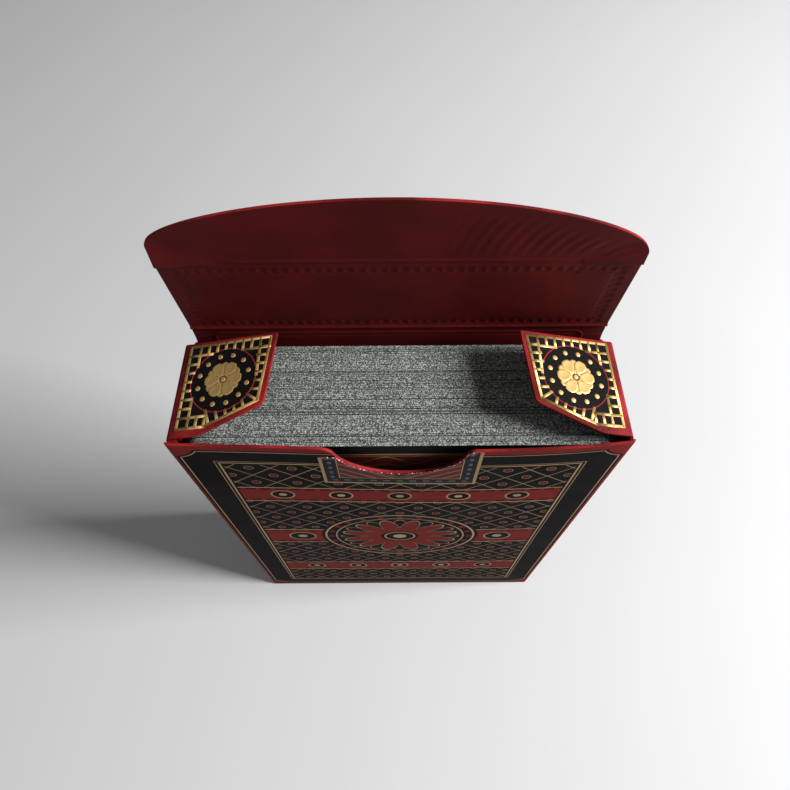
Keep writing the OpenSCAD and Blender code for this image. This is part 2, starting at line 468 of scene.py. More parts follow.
@dataclass(frozen=True)
class PanelPrint:
    """The print of one panel: red margin, gold frame, lattice, bands and a round rosette.

    Sizes are in millimetres and places run from the panel's middle. A line has half of its width, after
    its place where that is given.
    """

    name: str
    across: Axis
    middle: Flat
    half_w: float
    half_h: float
    frame_in: float
    lattice: float
    bands: tuple[Flat, ...] = ()
    rosette_r: float = 0.0
    petals: int = 12
    margin_side: float = 0.75
    margin_end: float = 1.4
    corner_r: float = 3.8
    rim_line: Flat = (0.5, 0.09)
    frame_line: Flat = (0.0, 0.14)
    outer_frame_line: Flat = (-0.6, 0.06)
    field_fade: Flat = (0.45, 0.5)
    band_line: float = 0.15
    band_dash: float = 0.32
    disc_line: float = 0.14
    lattice_line: float = 0.09
    dot_r: float = 0.55
    dot_line: Flat = (0.95, 0.07)
    petal_line: float = 0.2
    leaf_line: float = 0.13
    eye_line: float = 0.16
    petal_in: float = 0.55
    rosette_gap: float = 0.8
    fibre_per_mm: float = 6.0
    cloud_per_mm: float = 0.09
    foil_depth: float = 0.03

    def make(self) -> Material:
        """Makes the material.

        Returns:
            The material.
        """
        sheet = NodeSheet(self.name)
        places = sheet.axes()
        a = places[self.across.value] - self.middle[0]
        b = places[2] - self.middle[1]
        red, gold = self._frame(a, b)
        inner = (self.half_w - abs(a)).least(self.half_h - abs(b)) - self.frame_in
        field = inner.fade(*self.field_fade)
        for height, half in self.bands:
            band_red, band_gold, band = self._band(a, b, height, half)
            red = red.most(band_red * field)
            gold = gold.most(band_gold * field)
            field = field * (1 - band)
        if self.rosette_r:
            rose_red, rose_gold, rose = self._rosette(a, b)
            red = (red * (1 - rose)).most(rose_red)
            gold = (gold * (1 - rose)).most(rose_gold)
            field = field * (1 - rose)
        lattice_red, lattice_gold = self._lattice(a, b)
        red = red.most(lattice_red * field)
        gold = gold.most(lattice_gold * field)
        return self._dress(sheet, red, gold)

    def _frame(self, a: Wire, b: Wire) -> tuple[Wire, Wire]:
        """Draws the margin and the gold frames.

        Args:
            a: Place across the panel.
            b: Place up the panel.

        Returns:
            The margin's red and the frames' gold.
        """
        edge_a = self.half_w - abs(a)
        edge_b = self.half_h - abs(b)
        inset = (edge_a - self.margin_side).least(edge_b - self.margin_end)
        inset = inset.least(edge_a.length_with(edge_b) - self.corner_r)
        frame = edge_a.least(edge_b) - self.frame_in
        gold = inset.line(*self.rim_line).most(frame.line(*self.frame_line))
        return inset.within(0.0), gold.most(frame.line(*self.outer_frame_line))

    def _band(self, a: Wire, b: Wire, height: float, half: float) -> tuple[Wire, Wire, Wire]:
        """Draws a pair of bands with discs and dashed edges.

        Args:
            a: Place across the panel.
            b: Place up the panel.
            height: Height of the bands above and below the middle.
            half: Half of a band's width.

        Returns:
            Their red, gold and whole area.
        """
        rise = abs(abs(b) - height)
        area = rise.within(half)
        pitch = self.lattice * 1.5
        disc = a.wrap(pitch).length_with(rise)
        dash = rise.line(half * 0.8, self.band_dash) * abs(a.wrap(pitch / 4)).within(pitch / 12)
        red = area * (1 - dash) * (1 - disc.within(half * 0.55))
        gold = rise.line(half, self.band_line).most(disc.line(half * 0.55, self.disc_line))
        return red, gold.most(disc.within(half * 0.2)), area

    def _lattice(self, a: Wire, b: Wire) -> tuple[Wire, Wire]:
        """Draws a slanted lattice.

        Args:
            a: Place across the panel.
            b: Place up the panel.

        Returns:
            Its red dots and gold lines.
        """
        rising, falling = a + b, a - b
        half = self.lattice / 2
        off_line = abs(rising.wrap(self.lattice)).least(abs(falling.wrap(self.lattice)))
        cell = (rising + half).wrap(self.lattice).length_with((falling + half).wrap(self.lattice))
        gold = off_line.within(self.lattice_line).most(cell.line(*self.dot_line))
        return cell.within(self.dot_r), gold

    def _rosette(self, a: Wire, b: Wire) -> tuple[Wire, Wire, Wire]:
        """Draws a ringed rosette.

        Args:
            a: Place across the panel.
            b: Place up the panel.

        Returns:
            Its red, gold and whole area.
        """
        r = a.length_with(b)
        turn = b.angle_to(a)
        big = self.rosette_r
        wave = abs((turn * (self.petals / 2)).sine())
        rear = abs((turn * (self.petals / 2) + math.pi / 2).sine())
        petal = r - big * (0.42 + 0.36 * wave)
        leaf = r - big * (0.30 + 0.50 * rear)
        ring = r.line(big * 0.93, big * 0.035)
        tick = abs((turn * self.petals).sine()).within(0.45)
        gold = r.line(big, self.petal_line).most(r.line(big * 0.86, self.leaf_line))
        gold = gold.most(petal.line(0.0, self.petal_line))
        gold = gold.most(leaf.line(0.0, self.leaf_line) * petal.fade(0.0, 0.1))
        gold = gold.most(r.line(big * 0.2, self.eye_line)).most(r.within(big * 0.09))
        red = (ring * tick).most(petal.within(-self.petal_in) * r.fade(big * 0.25, big * 0.26))
        return red, gold, r.within(big + self.rosette_gap)

    def _dress(self, sheet: NodeSheet, red: Wire, gold: Wire) -> Material:
        """Lays the red and the gold over black ink and finishes the paper; both the red and the gold are
        darker copies that hold painted shade.

        Args:
            sheet: The print's nodes.
            red: Where the red is.
            gold: Where the gold is.

        Returns:
            The material.
        """
        fibre = sheet.noise(self.fibre_per_mm, 4.0)
        cloud = sheet.noise(self.cloud_per_mm, 3.0)
        black = sheet.mix(cloud.fade(0.35, 0.7), Ink.BLACK, Ink.BLACK_WORN)
        # The print's red is the darker copy of the red that holds painted shade.
        red_ink_with_painted_shade = sheet.mix(fibre.fade(0.4, 0.8), Ink.BRICK, Ink.BRICK_WORN)
        ink = sheet.mix(red, black, red_ink_with_painted_shade)
        # The print's foil is the darker gold that holds painted shade.
        foil_with_painted_shade = sheet.mix(cloud.fade(0.3, 0.75), Ink.BRONZE, Ink.BRONZE_DEEP)
        return sheet.surface(
            Base_Color=sheet.mix(gold, ink, foil_with_painted_shade),
            Metallic=gold,
            Roughness=0.46 + 0.2 * fibre - 0.1 * gold,
            Normal=sheet.bump(gold * 0.6 + fibre * 0.4, self.foil_depth * MM, 0.5),
            Specular_IOR_Level=0.01,
        )


@dataclass(frozen=True)
class CardEdge:
    """The cut edges of the cards: grey stock, a tone to each card, fine fibres and specks. The darkest cards
    are painted shade for the gaps between cards.
    """

    name: str
    tone: str
    least_light: float = 0.4
    speck_per_mm: float = 5.6
    speck_fade: Flat = (0.41, 0.72)
    fibre_per_mm: float = 2.2
    fibre_stretch: Triple = (0.35, 3.0, 1.0)
    fibre_share: float = 0.14
    grain_depth: float = 0.05 * MM

    def make(self) -> Material:
        """Makes the material.

        Returns:
            The material.
        """
        sheet = NodeSheet(self.name)
        tone = sheet.node("ShaderNodeAttribute", {"attribute_name": self.tone}, output="Fac")
        speck = sheet.noise(self.speck_per_mm, 1.0)
        fibre = sheet.noise(self.fibre_per_mm, 3.0, self.fibre_stretch)
        light = speck.fade(*self.speck_fade) * (1 - self.fibre_share) + fibre * self.fibre_share
        # Each card's tone darkens its edge; the darkest cards are painted shade for the gaps between cards.
        light = light * (self.least_light + (1 - self.least_light) * tone)
        return sheet.surface(
            Base_Color=sheet.mix(light, Ink.EDGE_DARK, Ink.EDGE_PALE),
            Roughness=0.62 + 0.2 * speck,
            Normal=sheet.bump(speck, self.grain_depth, 0.6),
            Specular_IOR_Level=0.3,
        )


@dataclass(frozen=True)
class CardBack:
    """The back of a card: black border, gold frame and a maroon field of gold waves, its gold and its darker
    maroon holding painted shade.

    Its sizes are given as in PanelPrint.
    """

    name: str
    middle: Flat
    half_w: float
    half_h: float
    border: float = 3.2
    frame_line: Flat = (0.0, 0.18)
    inner_frame_line: Flat = (0.65, 0.09)
    field_fade: Flat = (0.75, 0.8)
    wave_pitch: float = 2.6
    wave_length: float = 9.0
    wave_rise: float = 1.1
    wave_line: float = 0.13
    counter_wave_line: float = 0.09
    fibre_per_mm: float = 5.0
    grain_depth: float = 0.015

    def make(self) -> Material:
        """Makes the material.

        Returns:
            The material.
        """
        sheet = NodeSheet(self.name)
        x, _, z = sheet.axes()
        a, b = x - self.middle[0], z - self.middle[1]
        inset = (self.half_w - abs(a)).least(self.half_h - abs(b)) - self.border
        swell = (a * (2 * math.pi / self.wave_length)).sine() * self.wave_rise
        waves = abs((b + swell).wrap(self.wave_pitch)).within(self.wave_line)
        counter = abs((b - swell).wrap(2 * self.wave_pitch)).within(self.counter_wave_line)
        gold = inset.line(*self.frame_line).most(inset.line(*self.inner_frame_line))
        gold = gold.most(waves.most(counter) * inset.fade(*self.field_fade))
        fibre = sheet.noise(self.fibre_per_mm, 3.0)
        # The maroon clouds down to the darker copy that holds painted shade.
        maroon = sheet.mix(fibre, Ink.MAROON_DEEP, Ink.MAROON)
        ink = sheet.mix(inset.fade(-0.03, 0.03), Ink.BLACK, maroon)
        # The gold lines take the darker foil colour that holds painted shade.
        return sheet.surface(
            Base_Color=sheet.mix(gold, ink, Ink.BRONZE),
            Metallic=gold,
            Roughness=0.42 + 0.15 * fibre,
            Normal=sheet.bump(fibre, self.grain_depth * MM, 0.5),
            Specular_IOR_Level=0.02,
        )


@dataclass(frozen=True)
class CoatedStock:
    """Smooth card stock in one ink, with the fine linen grain of a coated card."""

    name: str
    colour: Colour
    linen_per_mm: float = 1.6
    linen_depth: float = 0.008 * MM
    cloud_per_mm: float = 0.2
    cloud_dim: float = 0.93

    def make(self) -> Material:
        """Makes the material.

        Returns:
            The material.
        """
        sheet = NodeSheet(self.name)
        x, _, z = sheet.axes()
        turn = 2 * math.pi * self.linen_per_mm
        linen = (x * turn).sine() * (z * turn).sine()
        cloud = sheet.noise(self.cloud_per_mm, 2.0)
        shade = tuple(c * self.cloud_dim for c in self.colour)
        return sheet.surface(
            Base_Color=sheet.mix(cloud, self.colour, shade),
            Roughness=0.36 + 0.1 * cloud,
            Normal=sheet.bump(linen * 0.5 + 0.5, self.linen_depth, 0.5),
            Specular_IOR_Level=0.45,
        )


@dataclass(frozen=True)
class SealPrint:
    """The seal's print: gold edge, black band of dashes and a maroon field of gold chevrons, its gold a
    darker copy of the foil that holds painted shade.

    Its sizes are given as in PanelPrint.
    """

    name: str
    half_w: float
    bottom: float
    edge_w: float = 0.48
    dash_line: Flat = (1.45, 0.26)
    dash_half: float = 0.5
    dash_pitch: float = 2.0
    inner_line: Flat = (2.5, 0.08)
    inner_fade: Flat = (2.6, 2.7)
    chevron_pitch: float = 1.5
    chevron_line: float = 0.07
    lozenge_rise: float = 4.0
    lozenge_line: Flat = (1.4, 0.1)
    lozenge_fade: Flat = (1.35, 1.4)
    lozenge_gap: Flat = (1.5, 1.6)
    fibre_per_mm: float = 5.0
    grain_depth: float = 0.02

    def make(self) -> Material:
        """Makes the material.

        Returns:
            The material.
        """
        sheet = NodeSheet(self.name)
        x, _, z = sheet.axes()
        rise = z - self.bottom
        side = self.half_w - abs(x)
        edge = side.least(rise)
        low = rise < side
        along = x * low + z * (1 - low)
        dash = edge.line(*self.dash_line) * abs(along.wrap(self.dash_pitch)).within(self.dash_half)
        slant = (abs(x) * 0.55 - rise * 0.75).wrap(self.chevron_pitch)
        lozenge = abs(x) + abs(rise - self.lozenge_rise) * 1.6
        inner = edge.fade(*self.inner_fade)
        chevrons = abs(slant).within(self.chevron_line) * inner * lozenge.fade(*self.lozenge_gap)
        gold = edge.within(self.edge_w).most(edge.line(*self.inner_line)).most(chevrons)
        gold = gold.most(lozenge.line(*self.lozenge_line))
        fibre = sheet.noise(self.fibre_per_mm, 4.0)
        maroon = sheet.mix(fibre.fade(0.3, 0.8), Ink.MAROON, Ink.MAROON_WORN)
        ink = sheet.mix(inner * lozenge.fade(*self.lozenge_fade), Ink.BLACK, maroon)
        ink = sheet.mix(dash, ink, Ink.BLUE_GREY)
        # The gold takes the darker foil colours that hold painted shade.
        return sheet.surface(
            Base_Color=sheet.mix(gold, ink, sheet.mix(fibre, Ink.BRONZE, Ink.BRONZE_DEEP)),
            Metallic=gold * 0.85,
            Roughness=0.42 + 0.2 * fibre,
            Normal=sheet.bump(fibre, self.grain_depth * MM, 0.6),
            Specular_IOR_Level=0.03,
        )


class Bench:
    """Modelling steps, each on one object at a time."""

    @staticmethod
    def hold(obj: Object) -> None:
        """Selects one object alone and makes it active."""
        bpy.ops.object.select_all(action="DESELECT")
        obj.select_set(True)
        bpy.context.view_layer.objects.active = obj

    @staticmethod
    @contextmanager
    def editing(obj: Object, kind: str = "FACE") -> Iterator[None]:
        """Opens an object in edit mode.

        Args:
            obj: The object.
            kind: What is selected on it.
        """
        Bench.hold(obj)
        bpy.ops.object.mode_set(mode="EDIT")
        bpy.ops.mesh.select_mode(type=kind)
        yield
        bpy.ops.object.mode_set(mode="OBJECT")

    @staticmethod
    def ruled(
        name: str,
        base: Sequence[Flat],
        top: Sequence[Flat],
        shares: Sequence[float],
        place: Callable[[float, float], Vector],
    ) -> Object:
        """A sheet ruled between two edges and bent to its shape.

        Args:
            name: Name of the new object.
            base: Points of the flat sheet's lower edge, from left to right.
            top: Points of its upper edge, as many as base.
            shares: Heights of its rows, as shares of the way from base to top.
            place: Gives the place in the frame of a point of the flat sheet.

        Returns:
            The sheet, without thickness, facing the side that its grid faces.
        """
        columns, rows = len(base) - 1, len(shares) - 1
        bpy.ops.mesh.primitive_grid_add(x_subdivisions=columns, y_subdivisions=rows, size=1.0)
        obj = bpy.context.object
        obj.name = name
        for vertex in obj.data.vertices:
            column = round((vertex.co.x + 0.5) * columns)
            share = shares[round((vertex.co.y + 0.5) * rows)]
            low, high = base[column], top[column]
            vertex.co = place(lerp(low[0], high[0], share), lerp(low[1], high[1], share))
        return obj

    @staticmethod
    def plate(name: str, outline: Sequence[Flat], thickness: float) -> Object:
        """A flat plate of an outline, standing on the XY plane, with its upper face selected.

        Args:
            name: Name of the new object.
            outline: Its outline, anticlockwise.
            thickness: Its thickness.

        Returns:
            The plate.
        """
        bpy.ops.mesh.primitive_circle_add(vertices=len(outline), fill_type="NGON")
        obj = bpy.context.object
        obj.name = name
        start = math.atan2(obj.data.vertices[0].co.y, obj.data.vertices[0].co.x)
        for vertex in obj.data.vertices:
            turn = (math.atan2(vertex.co.y, vertex.co.x) - start) / (2 * math.pi)
            vertex.co = (*outline[round(turn * len(outline)) % len(outline)], 0.0)
        with Bench.editing(obj):
            bpy.ops.mesh.select_all(action="SELECT")
            bpy.ops.mesh.extrude_region_move(TRANSFORM_OT_translate={"value": (0, 0, thickness)})
            bpy.ops.mesh.select_all(action="SELECT")
            bpy.ops.mesh.normals_make_consistent(inside=False)
        for face in obj.data.polygons:
            face.select = face.normal.z > 0.5
        return obj

    @staticmethod
    def apply(obj: Object, kind: str, **settings: object) -> None:
        """Adds a modifier and applies it.

        Args:
            obj: The object.
            kind: Blender's name of the modifier type.
            **settings: Settings of the modifier.
        """
        Bench.hold(obj)
        modifier = obj.modifiers.new(kind, kind)
        for name, value in settings.items():
            setattr(modifier, name, value)
        bpy.ops.object.modifier_apply(modifier=modifier.name)

    @staticmethod
    def thicken(obj: Object, thickness: float) -> int:
        """Gives a sheet its thickness behind the side that it faces.

        Args:
            obj: The sheet.
            thickness: Its thickness.

        Returns:
            The number of faces on the side that it faces, which come first.
        """
        front = len(obj.data.polygons)
        Bench.apply(obj, "SOLIDIFY", thickness=thickness, offset=-1.0, use_even_offset=True)
        return front

    @staticmethod
    def soften(obj: Object, width: float, segments: int = 2, angle: float = 35.0) -> None:
        """Rounds the sharp edges and shades the rest smooth.

        Args:
            obj: The object.
            width: Width of the rounding.
            segments: Steps across it.
            angle: Least turn of a sharp edge, in degrees.
        """
        Bench.apply(
            obj, "BEVEL", width=width, segments=segments, limit_method="ANGLE",
            angle_limit=math.radians(angle), use_clamp_overlap=True,
        )
        Bench.shade(obj, angle)

    @staticmethod
    def shade(obj: Object, angle: float = 35.0) -> None:
        """Shades smooth the edges that turn less than angle."""
        Bench.hold(obj)
        bpy.ops.object.shade_smooth_by_angle(angle=math.radians(angle))

    @staticmethod
    def copy(obj: Object, where: Matrix) -> Object:
        """Copies an object to another place.

        Args:
            obj: The object.
            where: Moves the copy's mesh.

        Returns:
            The copy, with a mesh of its own.
        """
        Bench.hold(obj)
        bpy.ops.object.duplicate(linked=False)
        twin = bpy.context.object
        twin.data.transform(where)
        if where.determinant() < 0:
            twin.data.flip_normals()
        return twin

    @staticmethod
    def join(name: str, parts: Sequence[Object]) -> Object:
        """Joins objects.

        Args:
            name: Name of the joined object.
            parts: The objects.

        Returns:
            The first of them, which holds all.
        """
        Bench.hold(parts[0])
        for part in parts[1:]:
            part.select_set(True)
        if len(parts) > 1:
            bpy.ops.object.join()
        parts[0].name = name
        return parts[0]

    @staticmethod
    def discard(obj: Object) -> None:
        """Removes a pattern piece that only served to be copied."""
        bpy.data.objects.remove(obj)

    @staticmethod
    def paint(obj: Object, *materials: Material) -> None:
        """Gives an object its material slots."""
        obj.data.materials.clear()
        for material in materials:
            obj.data.materials.append(material)


@dataclass(frozen=True)
class Finishes:
    """The plain finishes that several sub-assemblies share."""

    lining: Material
    margin: Material
    black: Material
    gold: Material

    @classmethod
    def make(cls) -> Finishes:
        """Makes the shared finishes."""
        return cls(
            # The lining's red holds painted shade; the margin's clouds darken towards that same red.
            lining=RedBoard("board_lining", Ink.LINING, Ink.LINING_DEEP, Ink.RED).make(),
            margin=RedBoard("red_margin", Ink.RED, Ink.LINING, Ink.RED_WORN, 0.55).make(),
            black=Grained(
                "black_field", Ink.BLACK, Ink.BLACK_FIBRE, per_mm=7.0, fade=(0.55, 0.85), rough=(0.5, 0.3),
                depth=0.03 * MM, strength=0.7, share=0.5, stretch=(1.0, 0.5, 1.0), specular=0.08,
            ).make(),
            gold=Grained(
                "gold_foil", Ink.GOLD, Ink.GOLD_DEEP, per_mm=5.0, fade=(0.35, 0.75), rough=(0.4, 0.2),
                depth=0.02 * MM, strength=0.5, detail=3.0, metallic=0.8,
            ).make(),
        )


@dataclass(frozen=True)
class CaseFrame:
    """Places of the carton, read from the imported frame."""

    half_w: float
    front_y: float
    back_y: float
    board_t: float
    rim_z: float
    lid_half_w: float
    lid_crease: Vector
    tuck_crease: Vector
    tuck_top: float
    tuck_half_w: float
    flap_crease: Vector
    flap_tip: Vector
    flap_ys: Flat

    @classmethod
    def read(cls, joints: Sequence[dict]) -> CaseFrame:
        """Reads the frame.

        Args:
            joints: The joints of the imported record.

        Returns:
            The places, at rest, in metres.
        """
        pivots = {j["name"]: Vector(j["pos_m"]) for j in joints if j["type"] == "hinge"}
        front_lo, front_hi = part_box("front_panel")
        flap_lo, flap_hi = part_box("dust_flap_right")
        tuck_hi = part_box("lid_tuck_flap")[1]
        board_t = front_hi.y - front_lo.y
        return cls(
            half_w=front_hi.x,
            front_y=front_lo.y,
            back_y=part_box("back_panel")[1].y,
            board_t=board_t,
            rim_z=front_hi.z,
            lid_half_w=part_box("lid_panel")[1].x,
            lid_crease=pivots["lid_hinge"],
            tuck_crease=pivots["tuck_flap_hinge"],
            tuck_top=tuck_hi.z,
            tuck_half_w=tuck_hi.x,
            flap_crease=pivots["right_flap_hinge"],
            flap_tip=Vector((flap_lo.x, 0.0, flap_hi.z - board_t / 2)),
            flap_ys=(flap_lo.y, flap_hi.y),
        )


@dataclass
class FrontBow:
    """The forward bow of the front panel, deeper towards its right."""

    case: CaseFrame
    depth: float = 1.05 * MM
    skew: float = 0.8

    def at(self, x: float, z: float) -> float:
        """Gives the bow at a place.

        Args:
            x: Distance across the panel.
            z: Height.

        Returns:
            How far forward the panel stands.
        """
        share = x / self.case.half_w
        across = max(0.0, 1 - share * share) * (1 + self.skew * share)
        return self.depth * across * (max(0.0, z) / self.case.rim_z) ** 2


@dataclass
class Notch:
    """The thumb notch in the front panel's edge, with its left shoulder worn rounder."""

    radius: float = 9.6 * MM
    depth: float = 9.0 * MM
    left_r: float = 2.2 * MM
    right_r: float = 1.2 * MM
    steps: int = 36
    shoulder_steps: int = 6

    @property
    def lift(self) -> float:
        """The height of the notch's centre over the panel's edge."""
        return self.radius - self.depth

    @property
    def left_w(self) -> float:
        """The width left of the notch's middle, shoulder included."""
        return self._reach(self.left_r)

    @property
    def right_w(self) -> float:
        """The width right of the notch's middle, shoulder included."""
        return self._reach(self.right_r)

    def spans(self, x: float) -> bool:
        """Tells whether a place across the panel lies in the notch or on its shoulders."""
        return -self.left_w <= x <= self.right_w

    def edge(self, x: float) -> float:
        """Gives the notch's edge.

        Args:
            x: Distance across the panel.

        Returns:
            The height of the edge, 0 beside the notch.
        """
        shoulder = self.left_r if x < 0 else self.right_r
        reach = self._reach(shoulder)
        across = min(abs(x), reach)
        if across < reach * self.radius / (self.radius + shoulder):
            return self.lift - math.sqrt(self.radius**2 - across**2)
        return math.sqrt(shoulder**2 - (reach - across) ** 2) - shoulder

    def outline(self) -> list[Flat]:
        """Gives the whole edge.

        Returns:
            The edge from left to right, with the panel's edge at height 0.
        """
        left, left_lean = self._shoulder(self.left_r)
        right, right_lean = self._shoulder(self.right_r)
        turns = math.pi + left_lean, 2 * math.pi - right_lean
        bowl = arc((0.0, self.lift), self.radius, *turns, self.steps)
        return [(-x, z) for x, z in left] + bowl[1:-1] + right[::-1]

    def _reach(self, shoulder: float) -> float:
        """Returns the notch's width to one side of its middle, with a shoulder of that radius."""
        return math.sqrt((self.radius + shoulder) ** 2 - (self.lift + shoulder) ** 2)

    def _shoulder(self, radius: float) -> tuple[list[Flat], float]:
        """Gives a right shoulder of that radius.

        Args:
            radius: The shoulder's radius.

        Returns:
            The shoulder from the panel's edge down to the bowl, and the angle at which they meet.
        """
        reach = self._reach(radius)
        lean = math.atan2(self.lift + radius, reach)
        turns = math.pi / 2, math.pi - lean
        return arc((reach, -radius), radius, *turns, self.shoulder_steps), lean


@dataclass
class Sleeve:
    """The four walls of the carton: one folded sheet with round corners and a thumb notch."""

    case: CaseFrame
    bow: FrontBow
    notch: Notch
    finishes: Finishes
    corner_r: float = 0.55 * MM
    corner_steps: int = 4
    relief: float = 3.6 * MM
    front_relief: float = 0.5 * MM
    step_run: float = 0.12 * MM
    seam: float = 0.05 * MM
    edge_round: float = 0.09 * MM
    front_steps: int = 14
    back_steps: int = 24
    rows: int = 26
    row_power: float = 1.6

    def build(self) -> Object:
        """Builds the sleeve.

        Returns:
            The sleeve.
        """
        stations, walls = self._stations()
        base = [(s, 0.0) for s, _ in self._even_base(stations)]
        shares = [1 - (1 - share) ** self.row_power for share in spread(0.0, 1.0, self.rows)]
        sheet = Bench.ruled("case_sleeve", base, stations, shares, self._fold)
        outside = Bench.thicken(sheet, self.case.board_t)
        Bench.paint(sheet, *self._prints(), self.finishes.lining, self.finishes.margin)
        for face in sheet.data.polygons:
            layer = face.index // outside
            face.material_index = min(layer, 2) + 2 if layer else walls[face.index % len(walls)]
        Bench.soften(sheet, self.edge_round)
        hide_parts("front_panel", "back_panel", "left_side_panel", "right_side_panel")
        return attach(sheet, "case")

    def _lengths(self) -> tuple[float, float, float]:
        """Measures the walls.

        Returns:
            The straight lengths of a side and the front, and a corner's arc length.
        """
        depth = self.case.back_y - self.case.front_y - 2 * self.corner_r
        width = 2 * (self.case.half_w - self.corner_r)
        return depth, width, self.corner_r * math.pi / 2

    def _stations(self) -> tuple[list[Flat], list[int]]:
        """Gives the upper edge of the flat sheet, and the wall that each column belongs to.

        Returns:
            The edge as distance round the case from the seam and height, and the walls.
        """
        case = self.case
        depth, width, turn = self._lengths()
        crease = case.flap_crease.z - FLAP_CREASE_REACH
        low = case.flap_crease.z - self.relief
        gap = case.flap_crease.z - self.front_relief
        back_edge = case.back_y - self.corner_r
        flap_back, flap_front = back_edge - case.flap_ys[1], back_edge - case.flap_ys[0]
        step = self.step_run
        left = [(self.seam, low), (flap_back - step, low), (flap_back, crease)]
        left += [(flap_front, crease), (flap_front + step, gap - step), (depth - step, gap)]
        start = depth + turn
        mid = start + width / 2
        notch = [(mid + x, case.rim_z + z) for x, z in self.notch.outline()]
        plain_l = [(s, case.rim_z) for s in spread(start, notch[0][0], self.front_steps)]
        plain_r = [(s, case.rim_z) for s in spread(notch[-1][0], start + width, self.front_steps)]
        corner_l = [(s, case.rim_z) for s in spread(depth, start, self.corner_steps)]
        corner_r = [(s + width + turn, z) for s, z in corner_l]
        front = corner_l + plain_l[1:] + notch[1:-1] + plain_r + corner_r[1:]
        far = corner_r[-1][0]
        right = [(far + depth - s, z) for s, z in reversed(left[1:])]
        back_z = case.lid_crease.z - LID_CREASE_REACH
        turn_start = far + depth
        side_in = case.half_w - self.corner_r - case.lid_half_w
        back_start, back_end = turn_start + turn, turn_start + turn + width
        back = [(s, low) for s in spread(turn_start, back_start, self.corner_steps)]
        back.append((back_start + side_in - step, low))
        back += [(s, back_z) for s in spread(back_start + side_in, back_end - side_in, self.back_steps)]
        back.append((back_end - side_in + step, low))
        back += [(s, low) for s in spread(back_end, back_end + turn, self.corner_steps)]
        stations = left + front + right + [(turn_start - step, low)] + back
        walls = [1] * len(left) + [0] * (len(front) - 1) + [1] * (len(right) + 1) + [2] * len(back)
        return stations, walls[: len(stations) - 1]

    def _even_base(self, stations: Sequence[Flat]) -> list[Flat]:
        """Spaces the notch's columns evenly along the lower edge.

        Args:
            stations: The upper edge of the flat sheet.

        Returns:
            A point for each column, of which only the distance round the case counts.
        """
        depth, width, turn = self._lengths()
        mid = depth + turn + width / 2
        inside = [i for i, (s, _) in enumerate(stations) if self.notch.spans(s - mid)]
        even = list(stations)
        for step, i in enumerate(inside):
            share = step / (len(inside) - 1)
            even[i] = (mid + lerp(-self.notch.left_w, self.notch.right_w, share), 0.0)
        return even

    def _fold(self, along: float, z: float) -> Vector:
        """Folds a point of the flat sheet round the case and bows the front.

        Args:
            along: Distance round the case from the seam.
            z: Height.

        Returns:
            The place in the frame.
        """
        case, r = self.case, self.corner_r
        depth, width, turn = self._lengths()
        x_in, y_front, y_back = case.half_w - r, case.front_y + r, case.back_y - r
        runs = (
            (depth, Vector((-x_in - r, y_back)), Vector((0.0, -1.0)), Vector((-x_in, y_front))),
            (width, Vector((-x_in, y_front - r)), Vector((1.0, 0.0)), Vector((x_in, y_front))),
            (depth, Vector((x_in + r, y_front)), Vector((0.0, 1.0)), Vector((x_in, y_back))),
            (width, Vector((x_in, y_back + r)), Vector((-1.0, 0.0)), Vector((-x_in, y_back))),
        )
        for length, start, way, pivot in runs:
            if along <= length:
                point = start + way * along
                break
            along -= length
            if along <= turn:
                angle = along / r
                out = Vector((way.y, -way.x))
                point = pivot + out * r * math.cos(angle) + way * r * math.sin(angle)
                break
            along -= turn
        if point.y < 0:
            front_share = ease(0.0, r, y_front - point.y)
            point.y -= self.bow.at(point.x, z) * front_share
        return Vector((point.x, point.y, z))

    def _prints(self) -> tuple[Material, Material, Material]:
        """Makes the prints.

        Returns:
            The prints of the front, the sides and the back.
        """
        case = self.case
        half_w, half_h = case.half_w * PER_MM, case.rim_z * PER_MM / 2
        half_d = (case.back_y - case.front_y) * PER_MM / 2
        front = PanelPrint(
            "front_print", Axis.X, (0.0, half_h), half_w, half_h, frame_in=6.2, lattice=6.4,
            bands=((26.0, 3.4), (0.0, 4.6)), rosette_r=14.5, petals=12,
        )
        side = PanelPrint(
            "side_print", Axis.Y, (0.0, half_h), half_d, half_h, frame_in=4.6, lattice=4.4,
            bands=((30.0, 3.0),), corner_r=2.2,
        )
        back = PanelPrint(
            "back_print", Axis.X, (0.0, half_h), half_w, half_h, frame_in=6.2, lattice=6.4,
            bands=((30.0, 3.4),), rosette_r=18.0, petals=16,
        )
        return front.make(), side.make(), back.make()


